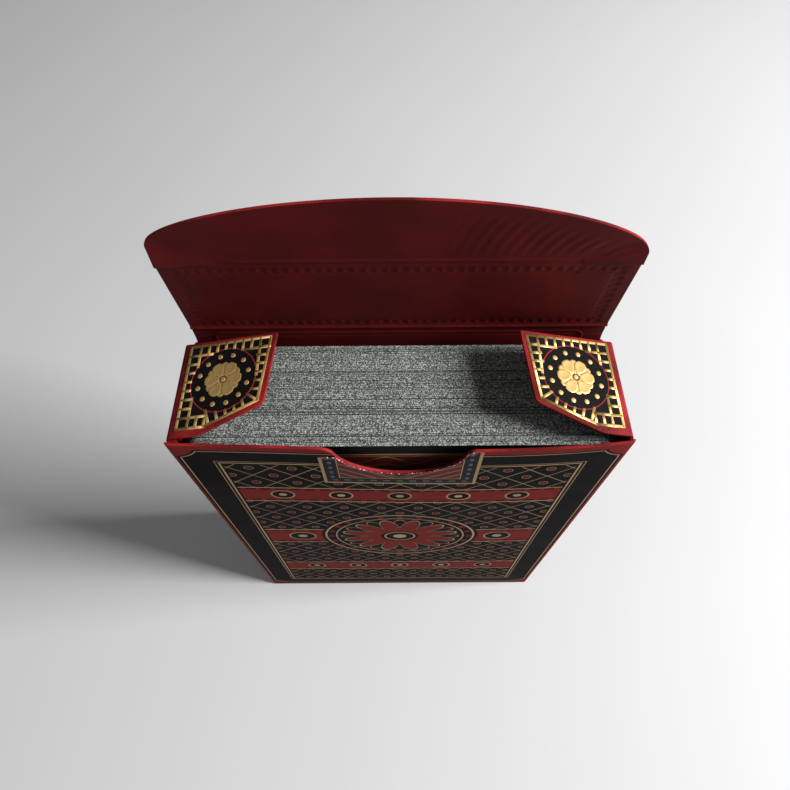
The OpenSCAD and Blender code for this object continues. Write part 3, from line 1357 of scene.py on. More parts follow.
@dataclass
class BackEmboss:
    """A frame line with round corners that stands out on the inside of the back panel."""

    case: CaseFrame
    finishes: Finishes
    half_w: float = 28.6 * MM
    drop: float = 0.9 * MM
    length: float = 30.0 * MM
    corner_r: float = 1.3 * MM
    line_w: float = 0.55 * MM
    height: float = 0.12 * MM
    root: float = 0.2 * MM
    steps: int = 6
    smooth: float = 50.0

    def __post_init__(self) -> None:
        """Works out the frame's height and the back panel's inner face."""
        self.top = self.case.lid_crease.z - self.drop
        self.inner_y = self.case.back_y - self.case.board_t

    def build(self) -> Object:
        """Builds the raised line.

        Returns:
            The line, rooted in the back panel.
        """
        half = self.line_w / 2
        shares = spread(0.0, 1.0, self.steps)
        sheet = Bench.ruled("back_wall_emboss", self._edge(-half), self._edge(half), shares, self._raised)
        Bench.thicken(sheet, self.root)
        Bench.paint(sheet, self.finishes.lining)
        Bench.shade(sheet, self.smooth)
        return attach(sheet, "case")

    def _edge(self, out: float) -> list[Flat]:
        """Gives one edge of the line.

        Args:
            out: Distance of the edge out from the middle of the line.

        Returns:
            The edge from the left foot to the right one.
        """
        inner_x, inner_z = self.half_w - self.corner_r, self.top - self.corner_r
        radius, foot = self.corner_r + out, self.top - self.length
        left = arc((-inner_x, inner_z), radius, math.pi, math.pi / 2, self.steps)
        right = [(-x, z) for x, z in reversed(left)]
        return [(-inner_x - radius, foot), *left, *right, (inner_x + radius, foot)]

    def _raised(self, x: float, z: float) -> Vector:
        """Places a point of the line, highest along its middle.

        Args:
            x: Distance across the panel.
            z: Height.

        Returns:
            The place in the frame.
        """
        right, up = abs(x) - self.half_w + self.corner_r, z - self.top + self.corner_r
        off = math.hypot(right, up) if min(right, up) > 0 else max(right, up)
        share = 2 * (off - self.corner_r) / self.line_w
        return Vector((x, self.inner_y - self.height * (1 - share * share), z))


@dataclass
class FrontSeal:
    """The half of the paper seal left on the front panel, torn along the thumb notch."""

    case: CaseFrame
    bow: FrontBow
    notch: Notch
    lift: float = 0.015 * MM
    torn: float = 0.14 * MM
    torn_in: float = 0.12 * MM
    torn_out: float = 0.26 * MM
    torn_run: float = 5.0 * MM
    left_rest: float = 2.6 * MM
    columns: int = 150
    rows: tuple[float, ...] = (0.0, 0.2, 0.4, 0.6, 0.8, 0.95, 1.0)
    smooth: float = 40.0
    seed: int = 7

    def build(self) -> Object:
        """Builds the seal.

        Returns:
            The seal, with its last row torn along the notch.
        """
        low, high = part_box("seal_label")
        chance = random.Random(self.seed)
        xs = spread(low.x, high.x, self.columns)
        base = [(x, low.z) for x in xs]
        top = [(x, self._torn_edge(x, chance)) for x in xs]
        thickness = high.y - low.y
        front = self.case.front_y - self.lift - thickness

        def place(x: float, z: float) -> Vector:
            """Lays the seal on the bowed panel."""
            return Vector((x, front - self.bow.at(x, z), z))

        sheet = Bench.ruled("seal_label_paper", base, top, self.rows, place)
        printed = Bench.thicken(sheet, thickness)
        seal = SealPrint("seal_print", high.x * PER_MM, low.z * PER_MM).make()
        # The torn paper takes the darker red that holds painted shade.
        torn = Grained(
            "torn_paper", Ink.BRICK, Ink.FIBRE, per_mm=2.4, fade=(0.55, 0.66), rough=(0.8, 0.1),
            depth=0.05 * MM, strength=0.8,
        ).make()
        Bench.paint(sheet, seal, torn)
        torn_from = (len(self.rows) - 2) * self.columns
        for face in sheet.data.polygons:
            torn_row = torn_from <= face.index < printed and self.notch.spans(face.center.x)
            face.material_index = int(torn_row or face.index >= printed)
        Bench.shade(sheet, self.smooth)
        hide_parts("seal_label")
        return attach(sheet, "case")

    def _torn_edge(self, x: float, chance: random.Random) -> float:
        """Gives the torn edge, which rises past the notch's edge on the right.

        Args:
            x: Distance across the panel.
            chance: Source of its raggedness.

        Returns:
            The height of the edge.
        """
        share = min(max(x / self.torn_run, 0.0), 1.0)
        ragged = chance.uniform(-1.0, 1.0) * self.torn + lerp(-self.torn_in, self.torn_out, share)
        edge = self.notch.edge(x)
        if x < 0:
            edge = min(edge, -self.left_rest)
        return self.case.rim_z + min(edge + ragged, 0.0)


@dataclass
class Lid:
    """The open lid: its panel, the tuck flap and the two creases that they turn on."""

    case: CaseFrame
    finishes: Finishes
    reach: float = 0.8 * MM
    twist_back: float = 0.3 * MM
    twist_front: float = 0.36 * MM
    bead: float = 0.3 * MM
    bead_w: float = 0.34 * MM
    bead_at: float = 0.85 * MM
    groove: float = 0.12 * MM
    tuck_bead_share: float = 0.35
    tuck_bead_end: float = 4 * MM
    slit_l: float = 8.0 * MM
    slit_gap: float = 0.12 * MM
    slit_drop: float = 0.55 * MM
    shoulder_curl: float = 0.55 * MM
    curl_l: float = 4.6 * MM
    corner_left: float = 3.4 * MM
    corner_right: float = 1.5 * MM
    fall: float = 0.26
    slit_step: float = 0.02 * MM
    dash_pitch: float = 1.45 * MM
    dash_in: float = 2.1 * MM
    dash_w: float = 0.62 * MM
    dash_rise: Flat = (0.12, 0.3)
    dash_share: float = 0.9
    line_fade: Flat = (0.28 * MM, 0.08 * MM)
    line_share: float = 0.5
    emboss: float = 0.12 * MM
    ripple: float = 0.05 * MM
    ripple_pitch: float = 1.5 * MM
    ripple_drop: float = 3 * MM
    ripple_from: Flat = (3 * MM, 12 * MM)
    ripple_margin: float = 3 * MM
    ripple_fall: float = 0.11
    edge_round: float = 0.08 * MM
    smooth: float = 50.0
    panel_grid: Grid = (256, 64)
    tuck_grid: Grid = (180, 40)
    lid_crease_grid: Grid = (48, 48)
    tuck_crease_grid: Grid = (96, 24)

    def __post_init__(self) -> None:
        """Works out the directions of the lid and the tuck flap at rest."""
        case = self.case
        up = case.tuck_crease - case.lid_crease
        self.length = up.length
        self.up = up.normalized()
        tip = Vector((0.0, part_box("lid_tuck_flap")[0].y + case.board_t / 2, case.tuck_top))
        rise = tip - Vector((0.0, case.tuck_crease.y, case.tuck_crease.z))
        self.tuck_length = rise.length
        self.tuck_up = rise.normalized()

    def build(self) -> list[Object]:
        """Builds and returns the lid panel, the tuck flap and the two creases."""
        return [self._panel(), self._tuck_flap(), self._lid_crease(), self._tuck_crease()]

    @staticmethod
    def _inward(up: Vector) -> Vector:
        """Returns the direction out of the inner face of a sheet that rises along up."""
        return Vector((0.0, -up.z, up.y))

    def _stepped(self, half: float, count: int) -> list[float]:
        """Spreads columns across a sheet, two of them close together at each end of the crease.

        Args:
            half: Half of the sheet's width.
            count: Number of steps between the columns.

        Returns:
            The columns' places, from left to right.
        """
        xs = spread(-half, half, count)
        slit_x = self.case.lid_half_w - self.slit_l
        last = max(i for i, x in enumerate(xs) if x < -slit_x)
        xs[last], xs[last + 1] = -slit_x, -slit_x + self.slit_step
        xs[count - last], xs[count - last - 1] = slit_x, slit_x - self.slit_step
        return xs

    def _on_lid(self, x: float, along: float, out: float) -> Vector:
        """Returns a place on the lid, out from its middle layer towards its inner face."""
        point = self.case.lid_crease + self.up * along
        return Vector((x, point.y, point.z)) + self._inward(self.up) * out

    def _on_tuck(self, x: float, along: float, out: float) -> Vector:
        """Gives a place on the tuck flap.

        Args:
            x: Distance across the flap.
            along: Distance from its crease.
            out: Distance from its middle layer towards its inner face.

        Returns:
            The place in the frame.
        """
        point = self.case.tuck_crease + self.tuck_up * along
        share = max(0.0, along) / self.tuck_length
        twist = self.twist_front if x > 0 else self.twist_back
        turn = twist * x / self.case.lid_half_w * share
        return Vector((x, point.y, point.z)) + self._inward(self.tuck_up) * (out + turn)

    def _lid_emboss(self, x: float, along: float) -> float:
        """Gives the emboss of the dashed frame and its line, which stand out on the outer face.

        Args:
            x: Distance across the lid.
            along: Distance from its crease.

        Returns:
            The depth of the emboss in the inner face.
        """
        side = self.case.lid_half_w - abs(x)
        end = min(along, self.length - along)
        edge = min(side, end)
        run = x if end < side else along
        share = (run / self.dash_pitch) % 1.0
        dash = ease(*self.dash_rise, share) * ease(*self.dash_rise, 1 - share)
        row = ease(self.dash_w, self.dash_w * 0.5, abs(edge - self.dash_in))
        line_at = self.dash_in + self.dash_w * 1.25
        line = ease(*self.line_fade, abs(edge - line_at))
        return self.emboss * (self.dash_share * dash * row + self.line_share * line)

    def _tuck_emboss(self, x: float, along: float) -> float:
        """Gives the fine ripples near the tuck flap's right end.

        Args:
            x: Distance across the flap.
            along: Distance from its crease.

        Returns:
            The height of the ripples.
        """
        from_corner = math.hypot(x - self.case.lid_half_w, along + self.ripple_drop)
        wave = math.sin(2 * math.pi * from_corner / self.ripple_pitch)
        end = self.tuck_length - self.ripple_fall * x * x / self.tuck_length
        inside = ease(0.0, self.ripple_margin, along) * ease(end, end - self.ripple_margin, along)
        return self.ripple * wave * ease(*self.ripple_from, x) * inside

    def _panel(self) -> Object:
        """Builds the lid panel.

        Returns:
            The panel.
        """
        case, half = self.case, self.case.board_t / 2
        columns, rows = self.panel_grid
        xs = self._stepped(case.lid_half_w, columns)
        crease_half = case.lid_half_w - self.slit_l
        base = [(x, LID_CREASE_REACH) for x in xs]
        top = [
            (x, self.length - (self.reach if abs(x) < crease_half else self.slit_drop + self.slit_gap))
            for x in xs
        ]

        def place(x: float, along: float) -> Vector:
            """Places the inner face, with its blind emboss."""
            return self._on_lid(x, along, half - self._lid_emboss(x, along))

        sheet = Bench.ruled("lid_panel_board", base, top, spread(0.0, 1.0, rows), place)
        outer = PanelPrint(
            "lid_print", Axis.X,
            (0.0, (case.lid_crease.z + case.tuck_crease.z) / 2 * PER_MM),
            case.lid_half_w * PER_MM, self.length / 2 * PER_MM, frame_in=4.4, lattice=4.0, corner_r=2.0,
        ).make()
        return self._finish(sheet, outer, "lid_panel", "lid")

    def _tuck_flap(self) -> Object:
        """Builds the tuck flap, with its round end and slit shoulders.

        Returns:
            The flap.
        """
        half_w, half = self.case.tuck_half_w, self.case.board_t / 2
        columns, rows = self.tuck_grid
        outline = [self._round_end(half_w, turn) for turn in spread(math.pi, 0.0, columns)]
        slit_x = self.case.lid_half_w - self.slit_l
        xs = self._stepped(half_w, columns)
        base = [(x, self.reach if abs(x) < slit_x else -self.slit_drop) for x in xs]

        def place(x: float, along: float) -> Vector:
            """Places the inner face, with ripples and curled shoulders."""
            turned = self.curl_l * (abs(x) - slit_x) / (half_w - slit_x) - along
            curl = self.shoulder_curl * max(0.0, turned) / (self.curl_l + self.slit_drop)
            edge_curl = curl if abs(x) > slit_x else 0.0
            return self._on_tuck(x, along, half + edge_curl + self._tuck_emboss(x, along))

        sheet = Bench.ruled("lid_tuck_flap_board", base, outline, spread(0.0, 1.0, rows), place)
        return self._finish(sheet, self.finishes.black, "lid_tuck_flap", "tuck_flap")

    def _round_end(self, half_w: float, turn: float) -> Flat:
        """Gives a point of the tuck flap's end, an oval that falls off sooner to its corners.

        Args:
            half_w: Half of the flap's width.
            turn: Angle of the point, from 0 at the right to pi at the left.

        Returns:
            Its distance across the flap and from the crease.
        """
        x, rise = half_w * math.cos(turn), math.sin(turn)
        low = self.corner_right if x > 0 else self.corner_left
        return x, lerp(low, self.tuck_length, lerp(rise, rise * rise, self.fall))

    def _finish(self, sheet: Object, outer: Material, node: str, body: str) -> Object:
        """Thickens and dresses a sheet of the lid, red inside and printed outside.

        Args:
            sheet: The sheet, as its inner face.
            outer: Finish of the outer face.
            node: CAD node that the sheet stands for.
            body: Body that the sheet rides on.

        Returns:
            The finished piece.
        """
        inside = Bench.thicken(sheet, self.case.board_t)
        Bench.paint(sheet, self.finishes.lining, outer, self.finishes.margin)
        for face in sheet.data.polygons:
            face.material_index = min(face.index // inside, 2)
        Bench.soften(sheet, self.edge_round, angle=self.smooth)
        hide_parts(node)
        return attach(sheet, body)

    def _lid_crease(self) -> Object:
        """Builds the crease between back panel and lid, with its pressed bead.

        Returns:
            The crease.
        """
        case, half, reach = self.case, self.case.board_t / 2, LID_CREASE_REACH
        crease = case.lid_crease
        columns, rows = self.lid_crease_grid

        def place(x: float, along: float) -> Vector:
            """Places the inner face on the back panel below the crease and on the lid above it."""
            above = along - self.bead_at
            bead = self.bead * math.exp(-((above / self.bead_w) ** 2))
            groove = math.exp(-(((above + 2 * self.bead_w) / (0.5 * self.bead_w)) ** 2))
            out = half + bead - self.groove * groove
            if along >= 0:
                return self._on_lid(x, along, out)
            return Vector((x, crease.y - out, crease.z + along))

        xs = spread(-case.lid_half_w, case.lid_half_w, columns)
        base, top = [(x, -reach) for x in xs], [(x, reach) for x in xs]
        sheet = Bench.ruled("lid_crease_fold", base, top, spread(0.0, 1.0, rows), place)
        low, high = Vector((0.0, crease.y, crease.z - reach)), self._on_lid(0.0, reach, 0.0)
        return self._crease(sheet, ("case", "lid"), low, high)

    def _tuck_crease(self) -> Object:
        """Builds the crease between the lid and the tuck flap.

        Returns:
            The crease.
        """
        half, reach = self.case.board_t / 2, self.reach
        half_w = self.case.lid_half_w - self.slit_l
        columns, rows = self.tuck_crease_grid

        def place(x: float, along: float) -> Vector:
            """Places the inner face on the lid below the crease and on the tuck flap above it."""
            ends = ease(half_w, half_w - self.tuck_bead_end, abs(x))
            bead = self.tuck_bead_share * ends * self.bead
            out = half + bead * math.exp(-((along / self.bead_w) ** 2))
            if along >= 0:
                return self._on_tuck(x, along, out)
            return self._on_lid(x, self.length + along, out)

        xs = spread(-half_w, half_w, columns)
        base, top = [(x, -reach) for x in xs], [(x, reach) for x in xs]
        sheet = Bench.ruled("tuck_crease_fold", base, top, spread(0.0, 1.0, rows), place)
        low, high = self._on_lid(0.0, self.length - reach, 0.0), self._on_tuck(0.0, reach, 0.0)
        return self._crease(sheet, ("lid", "tuck_flap"), low, high)

    def _crease(self, sheet: Object, bodies: tuple[str, str], low: Vector, high: Vector) -> Object:
        """Thickens and dresses a crease that bends between two bodies.

        Args:
            sheet: The crease, as its inner face.
            bodies: The bodies below and above the crease.
            low: Where the crease starts to turn.
            high: Where it has turned fully.

        Returns:
            The finished piece.
        """
        inside = Bench.thicken(sheet, self.case.board_t)
        Bench.paint(sheet, self.finishes.lining, self.finishes.black)
        for face in sheet.data.polygons:
            face.material_index = int(inside <= face.index < 2 * inside)
        Bench.shade(sheet, self.smooth)
        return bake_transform(sheet, *bodies, start=tuple(low), end=tuple(high))


class Side(Enum):
    """The two ends of the case."""

    LEFT = -1
    RIGHT = 1


@dataclass(frozen=True)
class Inset:
    """How far in from each edge of a dust flap a line runs."""

    crease: float
    front: float = 0.0
    slant: float = 0.0
    tip: float = 0.0
    back: float = 0.0


@dataclass
class DustFlap:
    """A dust flap: a red-edged board with a black field, a gold ladder and a raised rosette.

    Its flat sizes run along from the crease and across from the middle of the crease.
    """

    case: CaseFrame
    finishes: Finishes
    slant_start: float = 4.6 * MM
    slant_depth: float = 4.0 * MM
    slant_round: float = 5.2 * MM
    tip_skew: float = 0.95 * MM
    tip_round: float = 1.3 * MM
    back_round: float = 0.3 * MM
    edge_round: float = 0.1 * MM
    field_t: float = 0.02 * MM
    rails: Inset = Inset(1.25 * MM, 1.25 * MM, 0.85 * MM, 0.92 * MM, 0.7 * MM)
    ladder_w: float = 1.62 * MM
    rung_pitch: float = 1.38 * MM
    rung_trims: tuple[Triple, ...] = (
        (1.0, 0.0, 1.0), (0.5, 1.3, 3.0), (1.1, 1.0, 1.0), (1.0, 1.0, 1.0), (1.0, 1.0, 1.0)
    )
    bar_w: float = 0.42 * MM
    bar_h: float = 0.115 * MM
    bar_bevel: float = 0.4
    bar_over: float = 0.6
    bar_lift: float = 0.35
    ring_r: float = 5.1 * MM
    ring_w: float = 0.085 * MM
    ring_flat: float = 0.6
    ring_at: Flat = (7.3 * MM, 0.78 * MM)
    bead_r: float = 0.4 * MM
    bead_circle: float = 3.95 * MM
    beads: int = 12
    heart_r: float = 0.42 * MM
    dome_share: float = 0.25
    dome_foot: float = 0.1
    dimple: Flat = (0.35, 0.37)
    petal_r: float = 3.02 * MM
    petal_half_w: float = 0.95 * MM
    petal_h: float = 0.06 * MM
    petal_start: float = 0.16
    petal_end: float = 0.955
    petal_swell: Flat = (1.35, 0.62)
    petal_steps: int = 14
    petal_rim: Flat = (0.09 * MM, 0.04 * MM)
    petal_bed: Flat = (0.16 * MM, -0.015 * MM)
    small_petal: Triple = (0.97, 0.68, 0.6)
    petals: int = 6
    smooth: float = 50.0
    ornament_smooth: float = 45.0
    fold_grid: Grid = (8, 10)

    def __post_init__(self) -> None:
        """Works out the flap's length, width and slope from the frame."""
        case = self.case
        run = case.flap_crease.x - case.flap_tip.x
        rise = case.flap_tip.z - case.flap_crease.z
        self.slope = math.atan2(rise, run)
        self.length = math.hypot(run, rise)
        self.half_w = (case.flap_ys[1] - case.flap_ys[0]) / 2
        self.middle_y = (case.flap_ys[1] + case.flap_ys[0]) / 2

    def build(self) -> list[Object]:
        """Builds both dust flaps and their creases.

        Returns:
            The flaps and the creases.
        """
        parts = [self._board(), self._field(), *self._ladder(), self._ring(), *self._rosette()]
        pattern = Bench.join("flap_pattern", parts)
        built = []
        for side in Side:
            flap = Bench.copy(pattern, self._where(side))
            flap.name = f"dust_flap_{side.name.lower()}_board"
            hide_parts(f"dust_flap_{side.name.lower()}")
            built += [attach(flap, f"{side.name.lower()}_dust_flap"), self._crease(side)]
        Bench.discard(pattern)
        return built

    def _where(self, side: Side) -> Matrix:
        """Gives the place of a flap.

        Args:
            side: The end of the case.

        Returns:
            The matrix that puts the flat flap there.
        """
        run, rise = math.cos(self.slope), math.sin(self.slope)
        crease = self.case.flap_crease
        return Matrix(
            (
                (-side.value * run, 0.0, side.value * rise, side.value * crease.x),
                (0.0, 1.0, 0.0, self.middle_y),
                (rise, 0.0, run, crease.z),
                (0.0, 0.0, 0.0, 1.0),
            )
        )

    def _corners(self, inset: Inset) -> list[Flat]:
        """Gives the flap's five corners, each edge moved in by its own distance.

        Args:
            inset: The distances.

        Returns:
            The corners anticlockwise from the front of the crease.
        """
        run, rise = self.length - self.slant_start, self.slant_depth
        slope = rise / run
        shift = inset.slant * math.hypot(run, rise) / run
        front, back = -self.half_w + inset.front, self.half_w - inset.back
        end = self.length - self.tip_skew / 2 - inset.tip
        slant_from = self.slant_start + (front + self.half_w - shift) / slope
        slant_to = -self.half_w + shift + (end - self.slant_start) * slope
        tip_back = (end + self.tip_skew, back)
        return [(inset.crease, front), (slant_from, front), (end, slant_to), tip_back, (inset.crease, back)]

    def _board(self) -> Object:
        """Builds the red board.

        Returns:
            The board.
        """
        t = self.case.board_t
        radii = [0.0, self.slant_round, self.tip_round, self.back_round, 0.0]
        outline = rounded(self._corners(Inset(FLAP_CREASE_REACH - self.edge_round)), radii, 6)
        board = Bench.plate("flap_board", outline, t)
        Bench.paint(board, self.finishes.margin)
        board.data.transform(Matrix.Translation((0.0, 0.0, -t / 2)))
        Bench.soften(board, self.edge_round, 3, self.smooth)
        Bench.apply(board, "TRIANGULATE", min_vertices=5)
        return board

    def _field(self) -> Object:
        """Lays the black field on the board, out to the rails.

        Returns:
            The field.
        """
        field = Bench.plate("flap_field", self._corners(self.rails), self.field_t)
        field.data.transform(Matrix.Translation((0.0, 0.0, self.case.board_t / 2)))
        Bench.paint(field, self.finishes.black)
        return field

    def _bar(self) -> Object:
        """Builds a gold bar of unit length along X with a rounded top.

        Returns:
            The bar.
        """
        bpy.ops.mesh.primitive_cube_add(size=1.0, scale=(1.0, self.bar_w, self.bar_h))
        bar = bpy.context.object
        bpy.ops.object.transform_apply(location=True, rotation=True, scale=True)
        for edge in bar.data.edges:
            ends = [bar.data.vertices[v].co for v in edge.vertices]
            edge.select = all(end.z > 0 for end in ends) and abs(ends[0].x - ends[1].x) > 0.5
        with Bench.editing(bar, "EDGE"):
            bpy.ops.mesh.bevel(offset=self.bar_h * self.bar_bevel, segments=2, affect="EDGES")
        self._dress(bar, self.finishes.gold)
        return bar

    def _dress(self, obj: Object, material: Material) -> None:
        """Gives an ornament its finish and smooth shading."""
        Bench.shade(obj, self.ornament_smooth)
        Bench.paint(obj, material)

    def _ladder(self) -> list[Object]:
        """Builds the gold ladder along the edges.

        Returns:
            Its bars.
        """
        pattern = self._bar()
        bars = [self._lay(pattern, start, end) for start, end in self._ladder_lines()]
        Bench.discard(pattern)
        return bars

    def _lay(self, pattern: Object, start: Vector, end: Vector) -> Object:
        """Copies the bar so that it lies on the field.

        Args:
            pattern: The bar of unit length.
            start: Where the copy starts on the flat flap.
            end: Where it ends.

        Returns:
            The copy.
        """
        way = end - start
        middle = (start + end) / 2
        turn = Matrix.Rotation(math.atan2(way.y, way.x), 4, "Z")
        stretch = Matrix.Diagonal((way.length + self.bar_w * self.bar_over, 1.0, 1.0, 1.0))
        top = self.case.board_t / 2 + self.bar_h * self.bar_lift
        return Bench.copy(pattern, Matrix.Translation((middle.x, middle.y, top)) @ turn @ stretch)

    def _ladder_lines(self) -> Iterator[tuple[Vector, Vector]]:
        """Lays out the rails and rungs.

        Each run of rungs has its trim at either end and its depth, as shares of the ladder's width.

        Yields:
            The ends of each bar.
        """
        corners = [Vector(corner) for corner in self._corners(self.rails)]
        edges = list(zip(corners, corners[1:] + corners[:1]))
        yield from edges
        for (start, end), shares in zip(edges, self.rung_trims):
            trim, end_trim, depth = (share * self.ladder_w for share in shares)
            way = (end - start).normalized()
            inward = Vector((-way.y, way.x))
            span = (end - start).length - trim - end_trim
            count = max(1, round(span / self.rung_pitch))
            for i in range(count + 1):
                foot = start + way * (trim + span * i / count)
                yield foot, foot + inward * min(depth, self._to_ring(foot, inward))
        yield from self._inner_rails(corners)
        tip = corners[2]
        way = (Vector(self.ring_at) - tip).normalized()
        yield tip, tip + way * self._to_ring(tip, way)

    def _inner_rails(self, corners: Sequence[Vector]) -> Iterator[tuple[Vector, Vector]]:
        """Lays out the inner rails, which stop at the ring.

        Args:
            corners: The corners of the outer rails.

        Yields:
            The ends of each rail.
        """
        front, slant, _, tip_back, back = corners
        deep = self.ladder_w
        lines = (
            (Vector((front.x + deep, front.y)), Vector((0.0, 1.0))),
            (Vector((back.x + deep, back.y)), Vector((0.0, -1.0))),
            (Vector((back.x, back.y - deep)), Vector((1.0, 0.0))),
            (Vector((tip_back.x, tip_back.y - deep)), Vector((-1.0, 0.0))),
            (Vector((tip_back.x - deep, tip_back.y)), Vector((0.0, -1.0))),
        )
        for start, way in lines:
            yield start, start + way * self._to_ring(start, way)
        yield Vector((front.x, front.y + deep)), Vector((slant.x, front.y + deep))

    def _to_ring(self, start: Vector, way: Vector) -> float:
        """Measures to the ring, or to where a line passes it.

        Args:
            start: Where the line starts.
            way: Its direction, of unit length.

        Returns:
            The distance along the line.
        """
        out = start - Vector(self.ring_at)
        along = out.dot(way)
        inside = along * along - out.length_squared + self.ring_r**2
        return -along - math.sqrt(max(0.0, inside))

    def _ring(self) -> Object:
        """Builds the thin red ring round the rosette.

        Returns:
            The ring.
        """
        top = self.case.board_t / 2
        bpy.ops.mesh.primitive_torus_add(
            major_radius=self.ring_r, minor_radius=self.ring_w, major_segments=96, minor_segments=8
        )
        ring = bpy.context.object
        flat = Matrix.Diagonal((1.0, 1.0, self.ring_flat, 1.0))
        ring.data.transform(Matrix.Translation((*self.ring_at, top)) @ flat)
        self._dress(ring, RedBoard("flap_ring", Ink.RED_BRIGHT, Ink.RED, Ink.RED_WORN).make())
        return ring

    def _rosette(self) -> list[Object]:
        """Builds the beads and the flower inside the ring.

        Returns:
            The beads and the petals.
        """
        bead = self._bead(self.bead_r)
        heart = self._bead(self.heart_r)
        at = Matrix.Translation((*self.ring_at, self.case.board_t / 2))
        sizes = self.petal_r, self.petal_half_w, self.petal_h
        large = self._petal(*sizes)
        small = self._petal(*(size * share for size, share in zip(sizes, self.small_petal)))
        parts = [Bench.copy(heart, at)]
        for i in range(self.beads):
            turn = Matrix.Rotation(2 * math.pi * (i + 0.5) / self.beads, 4, "Z")
            parts.append(Bench.copy(bead, at @ turn @ Matrix.Translation((self.bead_circle, 0, 0))))
        for i in range(self.petals):
            turn = 2 * math.pi / self.petals
            parts.append(Bench.copy(large, at @ Matrix.Rotation(turn * i, 4, "Z")))
            parts.append(Bench.copy(small, at @ Matrix.Rotation(turn * (i + 0.5), 4, "Z")))
        for pattern in (bead, heart, large, small):
            Bench.discard(pattern)
        return parts

    def _bead(self, radius: float) -> Object:
        """Builds a domed bead with a dimple.

        Args:
            radius: Its radius.

        Returns:
            The bead, standing on the XY plane.
        """
        bpy.ops.mesh.primitive_uv_sphere_add(segments=16, ring_count=10, radius=radius)
        bead = bpy.context.object
        with Bench.editing(bead):
            bpy.ops.mesh.select_all(action="SELECT")
            bpy.ops.mesh.bisect(
                plane_co=(0, 0, -self.dome_foot * radius), plane_no=(0, 0, 1), use_fill=True, clear_inner=True
            )
        width, depth = (share * radius for share in self.dimple)
        for vertex in bead.data.vertices:
            dimple = ease(width, 0.0, math.hypot(vertex.co.x, vertex.co.y)) * (vertex.co.z > 0)
            vertex.co.z = self.dome_share * (vertex.co.z - dimple * depth)
        self._dress(bead, self.finishes.gold)
        return bead

    def _petal(self, length: float, half_w: float, height: float) -> Object:
        """Builds a petal along X with a raised rim.

        Args:
            length: Distance from the rosette's middle to the petal's end.
            half_w: Half of its greatest width.
            height: Its height at the edge.

        Returns:
            The petal, standing on the XY plane.
        """
        start = self.petal_start * length
        skew, swell = self.petal_swell
        edge = [
            (lerp(start, length, share), half_w * math.sin(math.pi * share**skew) ** swell)
            for share in spread(0.0, 1.0, self.petal_steps)[:-1]
        ]
        edge[0] = (start, 0.0)
        notch = [(length * self.petal_end, 0.0)]
        outline = edge[:1] + [(x, -y) for x, y in edge[1:]] + notch + list(reversed(edge[1:]))
        petal = Bench.plate("petal", outline, height)
        with Bench.editing(petal):
            for width, rise in (self.petal_rim, self.petal_bed):
                bpy.ops.mesh.inset(thickness=width, depth=rise)
        self._dress(petal, self.finishes.gold)
        return petal

    def _crease(self, side: Side) -> Object:
        """Builds the rounded fold between a side panel and its flap.

        Args:
            side: The end of the case.

        Returns:
            The fold.
        """
        t, crease, reach = self.case.board_t, self.case.flap_crease, FLAP_CREASE_REACH
        tip = Vector((-math.cos(self.slope), math.sin(self.slope)))
        fold = Vector((crease.x, crease.z))
        low, high = fold - Vector((0.0, reach)), fold + tip * reach

        def place(across: float, share: float) -> Vector:
            """Places the outer face of the fold along a smooth turn."""
            first, last = low.lerp(fold, share), fold.lerp(high, share)
            point, way = first.lerp(last, share), (last - first).normalized()
            outer = point + Vector((way.y, -way.x)) * t / 2
            return Vector((side.value * outer.x, self.middle_y + across, outer.y))

        columns, rows = self.fold_grid
        ys = spread(-side.value * self.half_w, side.value * self.half_w, columns)
        base, top = [(y, 0.0) for y in ys], [(y, 1.0) for y in ys]
        name = f"dust_flap_{side.name.lower()}_fold"
        sheet = Bench.ruled(name, base, top, spread(0.0, 1.0, rows), place)
        Bench.thicken(sheet, t)
        Bench.paint(sheet, self.finishes.margin)
        Bench.shade(sheet, self.smooth)
        start = (side.value * low.x, self.middle_y, low.y)
        end = (side.value * high.x, self.middle_y, high.y)
        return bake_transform(sheet, "case", f"{side.name.lower()}_dust_flap", start=start, end=end)


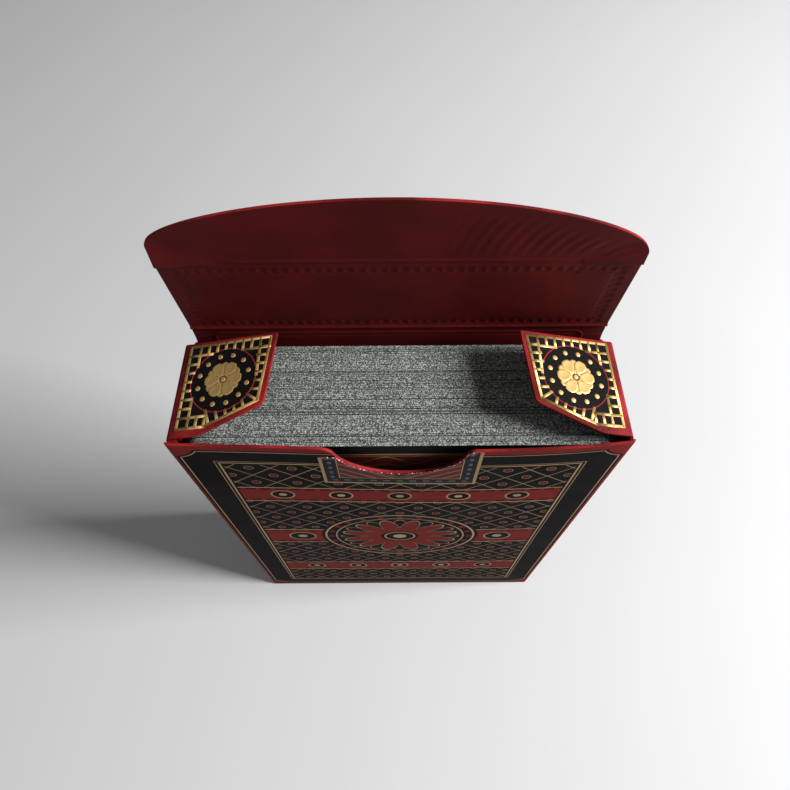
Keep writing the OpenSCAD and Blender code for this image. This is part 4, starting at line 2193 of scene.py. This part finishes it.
@dataclass
class CardPack:
    """The cards: one block of cards that stay in the case, and two that can be drawn."""

    drawn: tuple[tuple[str, int], ...] = (("third_card", 3), ("fourth_card", 4))
    corner_r: float = 3.2 * MM
    corner_steps: int = 6
    columns: int = 20
    rows: int = 8
    card_t: float = 0.29 * MM
    drawn_t: float = 0.265 * MM
    thin_share: float = 0.87
    jog: float = 0.05 * MM
    jog_up: float = 0.6
    sink: float = 0.25 * MM
    sink_power: int = 7
    pip_rise: float = 27 * MM
    pip_run: float = 13.5 * MM
    pip_h: float = 13 * MM
    index_in: Flat = (5.2 * MM, 8.2 * MM)
    index_h: float = 9 * MM
    index_drop: float = 7.2 * MM
    small_pip_h: float = 4.4 * MM
    heart_steps: int = 40
    heart_units: float = 29.0
    ink_t: float = 0.006 * MM
    smooth: float = 30.0
    seed: int = 21
    tone: str = "card_tone"
    tone_power: int = 4
    drawn_tone: float = 0.6

    # Turns a flat mark upright, to face +Y.
    UPRIGHT = Matrix(((-1, 0, 0, 0), (0, 0, 1, 0), (0, 1, 0, 0), (0, 0, 0, 1)))

    def build(self, bodies: dict[str, list[str]], nodes: dict[str, Object]) -> list[Object]:
        """Builds the cards.

        Args:
            bodies: The CAD nodes of each body.
            nodes: The CAD objects by name.

        Returns:
            The block of cards and the drawn cards.
        """
        low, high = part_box("jokers")
        self.low, self.high = low, high
        self.middle = ((low.x + high.x) / 2, (low.z + high.z) / 2)
        self.half_w, self.half_h = (high.x - low.x) / 2, (high.z - low.z) / 2
        edge = CardEdge("card_edge", self.tone).make()
        middle = self.middle[0] * PER_MM, self.middle[1] * PER_MM
        back = CardBack("card_back", middle, self.half_w * PER_MM, self.half_h * PER_MM).make()
        face = CoatedStock("card_face", Ink.CARD_FACE).make()
        stock = (edge, back, face)
        block = self._block(bodies["deck"], nodes, stock)
        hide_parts(*bodies["deck"])
        ink = CoatedStock("heart_ink", Ink.HEART).make()
        built = [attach(block, "deck")]
        for body, count in self.drawn:
            card = self._drawn_card(bodies[body][0], count, stock, ink)
            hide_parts(bodies[body][0])
            built.append(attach(card, body))
        return built

    def _blank(self, name: str, thickness: float, stock: Sequence[Material]) -> Object:
        """Builds one flat card with its back at Y = 0.

        Args:
            name: Name of the card.
            thickness: Its thickness.
            stock: Finishes of its edges, its back and its face.

        Returns:
            The card.
        """
        low, high, r = self.low, self.high, self.corner_r
        quarter = arc((high.x - r, r), r, -math.pi / 2, 0.0, self.corner_steps)
        flat = [(x, 0.0) for x in spread(low.x + r, high.x - r, self.columns)]
        left = [(low.x + high.x - x, z) for x, z in reversed(quarter)]
        edge = left + flat[1:-1] + quarter
        base = [(x, low.z + z) for x, z in edge]
        top = [(x, high.z - z) for x, z in edge]
        card = Bench.ruled(
            name, base, top, spread(0.0, 1.0, self.rows), lambda x, z: Vector((x, 0.0, z))
        )
        backs = Bench.thicken(card, thickness)
        Bench.paint(card, *stock)
        for polygon in card.data.polygons:
            layer = polygon.index // backs
            polygon.material_index = layer + 1 if layer < 2 else 0
        return card

    def _places(self, names: Sequence[str], nodes: dict[str, Object]) -> list[float]:
        """Returns the front of every card of some CAD nodes, from the front of the case."""
        faces = sorted({round(v.co.y / MM, 3) for n in names for v in nodes[n].data.vertices})
        return [y * MM for y in faces[::2]]

    def _block(
        self, names: Sequence[str], nodes: dict[str, Object], stock: Sequence[Material]
    ) -> Object:
        """Builds the block of cards that stay together.

        Args:
            names: The CAD nodes of the block.
            nodes: The CAD objects by name.
            stock: Finishes of a card's edges, its back and its face.

        Returns:
            The block.
        """
        chance = random.Random(self.seed)
        pattern = self._blank("card_blank", self.card_t, stock)
        cards = []
        for y in self._places(names, nodes):
            drop = self.sink * chance.random() ** self.sink_power
            side, rise = chance.uniform(-1, 1) * self.jog, chance.uniform(-1, self.jog_up) * self.jog
            thin = Matrix.Diagonal((1.0, chance.uniform(self.thin_share, 1.0), 1.0, 1.0))
            card = Bench.copy(pattern, Matrix.Translation((side, y, rise - drop)) @ thin)
            tone = card.data.attributes.new(self.tone, "FLOAT", "POINT")
            # A random tone for each card, whose few darkest values paint the shade of the gaps between cards.
            value = 1 - chance.random() ** self.tone_power
            tone.data.foreach_set("value", [value] * len(card.data.vertices))
            cards.append(card)
        Bench.discard(pattern)
        block = Bench.join("card_block", cards)
        Bench.shade(block, self.smooth)
        return block

    def _drawn_card(
        self, node: str, count: int, stock: Sequence[Material], ink: Material
    ) -> Object:
        """Builds a card of hearts that can be drawn.

        Args:
            node: The CAD node of the card.
            count: How many hearts are on it.
            stock: Finishes of its edges, its back and its face.
            ink: Finish of its hearts and numerals.

        Returns:
            The card with its hearts and numerals.
        """
        low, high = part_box(node)
        card = self._blank(f"{node}_card", self.drawn_t, stock)
        card.data.transform(Matrix.Translation((0.0, (low.y + high.y - self.drawn_t) / 2, 0.0)))
        face_y = (low.y + high.y + self.drawn_t) / 2
        marks = self._pips(count) + self._indices(count)
        for mark in marks:
            mark.data.transform(Matrix.Translation((self.middle[0], face_y, self.middle[1])))
            Bench.paint(mark, ink)
        made = Bench.join(f"{node}_card", [card, *marks])
        tone = made.data.attributes.new(self.tone, "FLOAT", "POINT")
        tone.data.foreach_set("value", [self.drawn_tone] * len(made.data.vertices))
        Bench.shade(made, self.smooth)
        return made

    def _heart(self, size: float) -> Object:
        """Builds a flat heart from the formula of a curve.

        Args:
            size: Its height.

        Returns:
            The heart, upright and facing +Y.
        """
        unit = size / self.heart_units
        outline = []
        for t in spread(0.0, 2 * math.pi, self.heart_steps)[:-1]:
            rise = 13 * math.cos(t) - 5 * math.cos(2 * t) - 2 * math.cos(3 * t) - math.cos(4 * t)
            outline.append((-16 * math.sin(t) ** 3 * unit, rise * unit))
        heart = Bench.plate("heart", outline, self.ink_t)
        heart.data.transform(self.UPRIGHT)
        return heart

    def _pips(self, count: int) -> list[Object]:
        """Builds the large hearts: three in a column, or four at the corners.

        Args:
            count: How many hearts the card has.

        Returns:
            The hearts.
        """
        rise, run = self.pip_rise, self.pip_run
        column = [(0.0, z) for z in (rise, 0.0, -rise)]
        corners = [(x, z) for x in (-run, run) for z in (rise, -rise)]
        spots = column if count == len(column) else corners
        pattern = self._heart(self.pip_h)
        pips = []
        for x, z in spots:
            turn = Matrix.Rotation(math.pi if z < 0 else 0.0, 4, "Y")
            pips.append(Bench.copy(pattern, Matrix.Translation((x, 0.0, z)) @ turn))
        Bench.discard(pattern)
        return pips

    def _indices(self, count: int) -> list[Object]:
        """Builds the corner numerals with their small hearts.

        Args:
            count: The numeral.

        Returns:
            The two marks.
        """
        x, z = self.half_w - self.index_in[0], self.half_h - self.index_in[1]
        bpy.ops.object.text_add()
        numeral = bpy.context.object
        numeral.data.body = str(count)
        numeral.data.size = self.index_h
        numeral.data.extrude = self.ink_t / 2
        numeral.data.align_x, numeral.data.align_y = "CENTER", "CENTER"
        bpy.ops.object.convert(target="MESH")
        numeral = bpy.context.object
        numeral.data.transform(Matrix.Translation((0.0, self.ink_t / 2, 0.0)) @ self.UPRIGHT)
        heart = self._heart(self.small_pip_h)
        heart.data.transform(Matrix.Translation((0.0, 0.0, -self.index_drop)))
        corner = Bench.join("corner_index", [numeral, heart])
        marks = []
        for turn in (0.0, math.pi):
            where = Matrix.Rotation(turn, 4, "Y") @ Matrix.Translation((x, 0.0, z))
            marks.append(Bench.copy(corner, where))
        Bench.discard(corner)
        return marks


@dataclass(frozen=True)
class Lamp:
    """A soft square lamp, with its place and size in metres and its power in watts."""

    name: str
    place: Triple
    size: float
    power: float

    def hang(self, aim: Vector) -> None:
        """Hangs the lamp so that it looks at a place.

        Args:
            aim: The place.
        """
        lamp = bpy.data.lights.new(self.name, "AREA")
        lamp.size, lamp.energy = self.size, self.power
        obj = bpy.data.objects.new(self.name, lamp)
        bpy.context.scene.collection.objects.link(obj)
        obj.location = self.place
        obj.rotation_euler = (aim - obj.location).to_track_quat("-Z", "Y").to_euler()


@dataclass
class Studio:
    """The floor, the lamps and the camera."""

    place: Triple = (-0.00027, -0.04323, 0.1753)
    pitch: float = 55.80
    yaw: float = 0.28
    roll: float = -0.66
    focal_px: float = 632.4
    centre_px: Flat = (395.0, 310.0)
    frame_px: float = 790.0
    sensor: float = 36.0
    near_clip: float = 1 * MM
    floor_size: float = 4.0
    floor_drop: float = 0.2 * MM
    cloud_per_mm: float = 0.01
    sky: Colour = (0.9, 0.92, 0.95)
    sky_strength: float = 0.12
    key: Lamp = Lamp("key_lamp", (0.62, -0.07, 0.47), 0.24, 11.0)
    fill: Lamp = Lamp("fill_lamp", (-0.42, -0.22, 0.65), 0.7, 0.6)
    aim_z: float = 90 * MM

    def build(self) -> None:
        """Builds the floor, the lamps and the camera."""
        self._floor()
        self._world()
        for lamp in (self.key, self.fill):
            lamp.hang(Vector((0.0, 0.0, self.aim_z)))
        self._camera()

    def _floor(self) -> None:
        """Lays a plain pale floor."""
        bpy.ops.mesh.primitive_plane_add(size=self.floor_size, location=(0.0, 0.0, -self.floor_drop))
        floor = bpy.context.object
        floor.name = "studio_floor"
        sheet = NodeSheet("pale_floor")
        pale = sheet.mix(sheet.noise(self.cloud_per_mm), Ink.FLOOR_DEEP, Ink.FLOOR)
        Bench.paint(floor, sheet.surface(Base_Color=pale, Roughness=0.7))

    def _world(self) -> None:
        """Lights the studio evenly and faintly from all round."""
        world = bpy.data.worlds.new("studio")
        world.use_nodes = True
        light = world.node_tree.nodes["Background"].inputs
        light["Color"].default_value = (*self.sky, 1.0)
        light["Strength"].default_value = self.sky_strength
        bpy.context.scene.world = world

    def _camera(self) -> None:
        """Sets up the camera where the photograph was taken."""
        data = bpy.data.cameras.new("camera")
        camera = bpy.data.objects.new("camera", data)
        bpy.context.scene.collection.objects.link(camera)
        data.sensor_width = self.sensor
        data.lens = self.focal_px / self.frame_px * self.sensor
        data.shift_x = (self.frame_px / 2 - self.centre_px[0]) / self.frame_px
        data.shift_y = (self.centre_px[1] - self.frame_px / 2) / self.frame_px
        data.clip_start = self.near_clip
        turn = (
            Matrix.Rotation(math.radians(self.yaw), 4, "Z")
            @ Matrix.Rotation(math.radians(90.0 - self.pitch), 4, "X")
            @ Matrix.Rotation(math.radians(self.roll), 4, "Z")
        )
        camera.matrix_world = Matrix.Translation(self.place) @ turn
        bpy.context.scene.camera = camera


def main() -> None:
    """Builds the looks of the whole object and reports each piece."""
    logging.basicConfig(level=logging.INFO, format="%(name)s: %(message)s")
    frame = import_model()
    bpy.context.scene.view_settings.view_transform = "Standard"
    Studio().build()
    finishes = Finishes.make()
    case = CaseFrame.read(frame["joints"])
    bow, notch = FrontBow(case), Notch()
    pieces = [Sleeve(case, bow, notch, finishes).build(), FrontSeal(case, bow, notch).build()]
    pieces.append(BackEmboss(case, finishes).build())
    pieces += Lid(case, finishes).build()
    pieces += DustFlap(case, finishes).build()
    pieces += CardPack().build(frame["record"]["behaviour"]["bodies"], frame["nodes"])
    for node in ("glue_flap", "bottom_inner_flap", "bottom_dust_flap_left", "bottom_dust_flap_right"):
        Bench.paint(frame["nodes"][node], finishes.lining)
    Bench.paint(frame["nodes"]["bottom_panel"], finishes.black)
    for piece in pieces:
        LOG.info("%s: %d faces on %s", piece.name, len(piece.data.polygons), body_of(piece))


if __name__ == "__main__":
    main()
